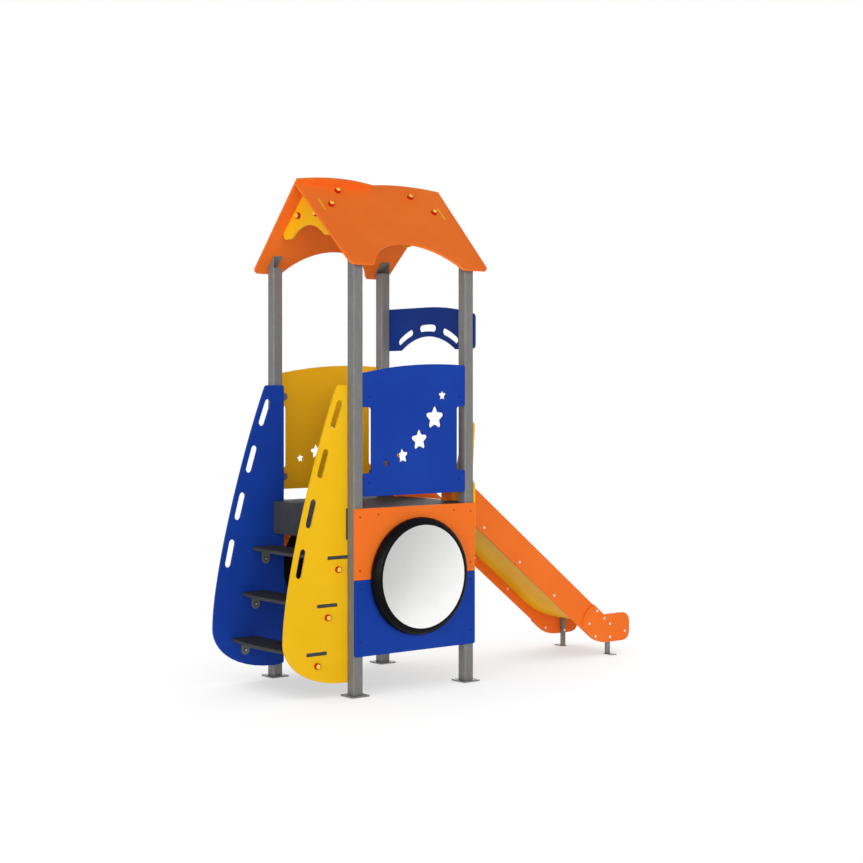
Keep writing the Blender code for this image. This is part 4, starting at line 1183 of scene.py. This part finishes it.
@dataclass
class Studio:
    """Pale floor that keeps the tower's soft shadow, partly real and partly painted, broad lights and the
    camera.

    The light's levels, and the painted reflection that the mirrors see, a grey that brightens along one axis,
    are set to match the photograph.
    """

    floor_half: float = 40.0
    floor_colour: Colour = (0.93, 0.93, 0.93)
    floor_seen: Colour = (0.25, 0.25, 0.25)
    floor_glow: float = 0.896
    floor_lit: float = 0.125
    painted_shadow_reach: float = 1.3
    painted_shadow_depth: float = 0.36
    # Painted up-light: the glow that the floor gives the tower, near it and far from it.
    floor_uplight: tuple[float, float] = (0.24, 0.44)
    uplight_reach: tuple[float, float] = (1.0, 3.2)
    horizon_light: float = 0.31
    zenith_light: float = 0.25
    mirror_place: Point = (-0.488, -0.430, 0.600)
    painted_reflection_axis: Point = (0.788, 0.616, -1.0)
    painted_reflection_span: tuple[float, float] = (-0.19, 0.34)
    painted_reflection_levels: tuple[float, float] = (0.52, 1.02)
    suns: tuple[tuple[str, float, Point], ...] = (("front_light", 1.56, (-0.33, -0.93, 0.17)),
                                                  ("left_light", 1.18, (-0.93, -0.33, 0.17)),
                                                  ("back_light", 1.30, (0.72, 0.67, 0.17)))
    sun_spread: float = math.radians(36.0)
    camera_place: Point = (-5.370, -7.400, 1.597)
    camera_turn: Point = (math.radians(90.0), 0.0, math.radians(-38.096))
    lens: float = 69.35
    sensor_width: float = 36.0
    shift_down: float = -0.0507
    clip_end: float = 200.0

    def add_floor(self) -> bpy.types.Object:
        """Makes the floor, which the camera sees as white apart from shadow: the lights' real shadow, and a
        painted shadow where ambient occlusion dims the floor's glow near the tower.

        Returns:
            The floor, marked as stage.
        """
        half = self.floor_half
        mesh = bpy.data.meshes.new("floor")
        corners = [(-half, -half, 0.0), (half, -half, 0.0), (half, half, 0.0), (-half, half, 0.0)]
        mesh.from_pydata(corners, [], [(0, 1, 2, 3)])
        floor = add_object("floor", mesh)
        shader = Shader("pale_floor")
        shader.set(Roughness=0.9, Specular_IOR_Level=0.0, Emission_Strength=1.0)
        path = shader.add("ShaderNodeLightPath")
        glossy = path.outputs["Is Glossy Ray"]
        shown = shader.maths("MAXIMUM", path.outputs["Is Camera Ray"], path.outputs["Is Transmission Ray"])
        # Painted reflection: what shiny pieces see on the floor brightens along one axis from the mirror's
        # place.
        direction = shader.vector("NORMALIZE", shader.vector("SUBTRACT", shader.place, self.mirror_place))
        low, high = (level - self.floor_lit for level in self.painted_reflection_levels)
        painted_reflection = shader.spread(shader.vector("DOT_PRODUCT", direction, self.painted_reflection_axis),
                                 *self.painted_reflection_span, low, high)
        # Painted shadow: ambient occlusion near the tower dims the glow that the camera sees on the floor.
        contact = shader.add("ShaderNodeAmbientOcclusion")
        contact.inputs["Distance"].default_value = self.painted_shadow_reach
        shade = shader.spread(contact.outputs["AO"], 0.0, 1.0, self.floor_glow - self.painted_shadow_depth,
                              self.floor_glow)
        # The floor glows on the rays that light the tower, a painted up-light, and glows less near the tower, a
        # painted shade on its low parts.
        reach = shader.vector("LENGTH", shader.place)
        uplight = shader.spread(reach, *self.uplight_reach, *self.floor_uplight)
        plain = shader.blend(shown, uplight, shade)
        shader.join(shader.blend(shader.maths("MAXIMUM", shown, glossy), self.floor_colour, self.floor_seen),
                    "Base Color")
        shader.join(shader.blend(glossy, plain, painted_reflection), "Emission Color")
        mesh.materials.append(shader.material)
        return floor

    @staticmethod
    def sky(graph: Graph, strength: Socket | float) -> Socket:
        """Adds a white sky.

        Args:
            graph: The world's nodes.
            strength: How bright it is, as a socket or a number.

        Returns:
            The sky's light.
        """
        light = graph.add("ShaderNodeBackground")
        light.inputs["Color"].default_value = (1.0, 1.0, 1.0, 1.0)
        graph.feed(strength, light.inputs["Strength"])
        return light.outputs[0]

    def add_world(self) -> None:
        """Makes the surrounding light, the white that the camera sees, and the painted reflection that the
        shiny pieces see: a grey that brightens along one axis.
        """
        world = bpy.data.worlds.new("studio")
        world.use_nodes = True
        bpy.context.scene.world = world
        graph = Graph(world.node_tree)
        graph.tree.nodes.clear()
        direction = graph.add("ShaderNodeTexCoord").outputs["Generated"]
        height = graph.vector("DOT_PRODUCT", direction, (0.0, 0.0, 1.0))
        light = self.sky(graph, graph.spread(height, 0.0, 1.0, self.horizon_light, self.zenith_light))
        # Painted reflection: the sky that shiny pieces see brightens along the same axis.
        along = graph.vector("DOT_PRODUCT", direction, self.painted_reflection_axis)
        painted_reflection = self.sky(graph, graph.spread(along, *self.painted_reflection_span, *self.painted_reflection_levels))
        white = self.sky(graph, 1.0)
        path = graph.add("ShaderNodeLightPath")
        layers = (("Is Glossy Ray", painted_reflection), ("Is Transmission Ray", white), ("Is Camera Ray", white))
        for ray, layer in layers:
            mix = graph.add("ShaderNodeMixShader")
            graph.link(path.outputs[ray], mix.inputs["Fac"])
            graph.link(light, mix.inputs[1])
            graph.link(layer, mix.inputs[2])
            light = mix.outputs[0]
        graph.link(light, graph.add("ShaderNodeOutputWorld").inputs["Surface"])

    def add_suns(self) -> None:
        """Adds the broad soft lights just above the horizon: two before the tower and one behind it."""
        for name, strength, place in self.suns:
            light = bpy.data.lights.new(name, "SUN")
            light.energy = strength
            light.angle = self.sun_spread
            lamp = add_object(name, light)
            lamp.rotation_euler = (-Vector(place)).to_track_quat("-Z", "Y").to_euler()

    def add_camera(self) -> None:
        """Sets the camera where the photograph was taken from."""
        data = bpy.data.cameras.new("photo_camera")
        data.lens = self.lens
        data.sensor_width = self.sensor_width
        data.shift_y = self.shift_down
        data.clip_end = self.clip_end
        camera = add_object("photo_camera", data)
        camera.location = tower(*self.camera_place)
        camera.rotation_euler = self.camera_turn
        bpy.context.scene.camera = camera

    def build(self) -> None:
        """Makes the floor, the light and the camera."""
        bpy.context.scene.view_settings.view_transform = "Standard"
        self.add_camera()
        self.add_floor()
        self.add_world()
        self.add_suns()


def main() -> None:
    """Builds the scene piece by piece and logs how many pieces each group of fixings makes."""
    logging.basicConfig(level=logging.INFO, format="%(name)s: %(message)s")
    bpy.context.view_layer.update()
    studio = Studio()
    studio.build()
    finishes = FinishSet()
    TowerFrame(finishes).build()
    for side in Side:
        DomedMirror(finishes, side).build()
    tree = HeadTree()
    for group in (RoofFixings, StepFixings, PanelFixings, SlideFixings, PostFixings):
        made = group(tree, finishes).build()
        LOG.info("%s: %d pieces", group.__name__, len(made))


if __name__ == "__main__":
    main()
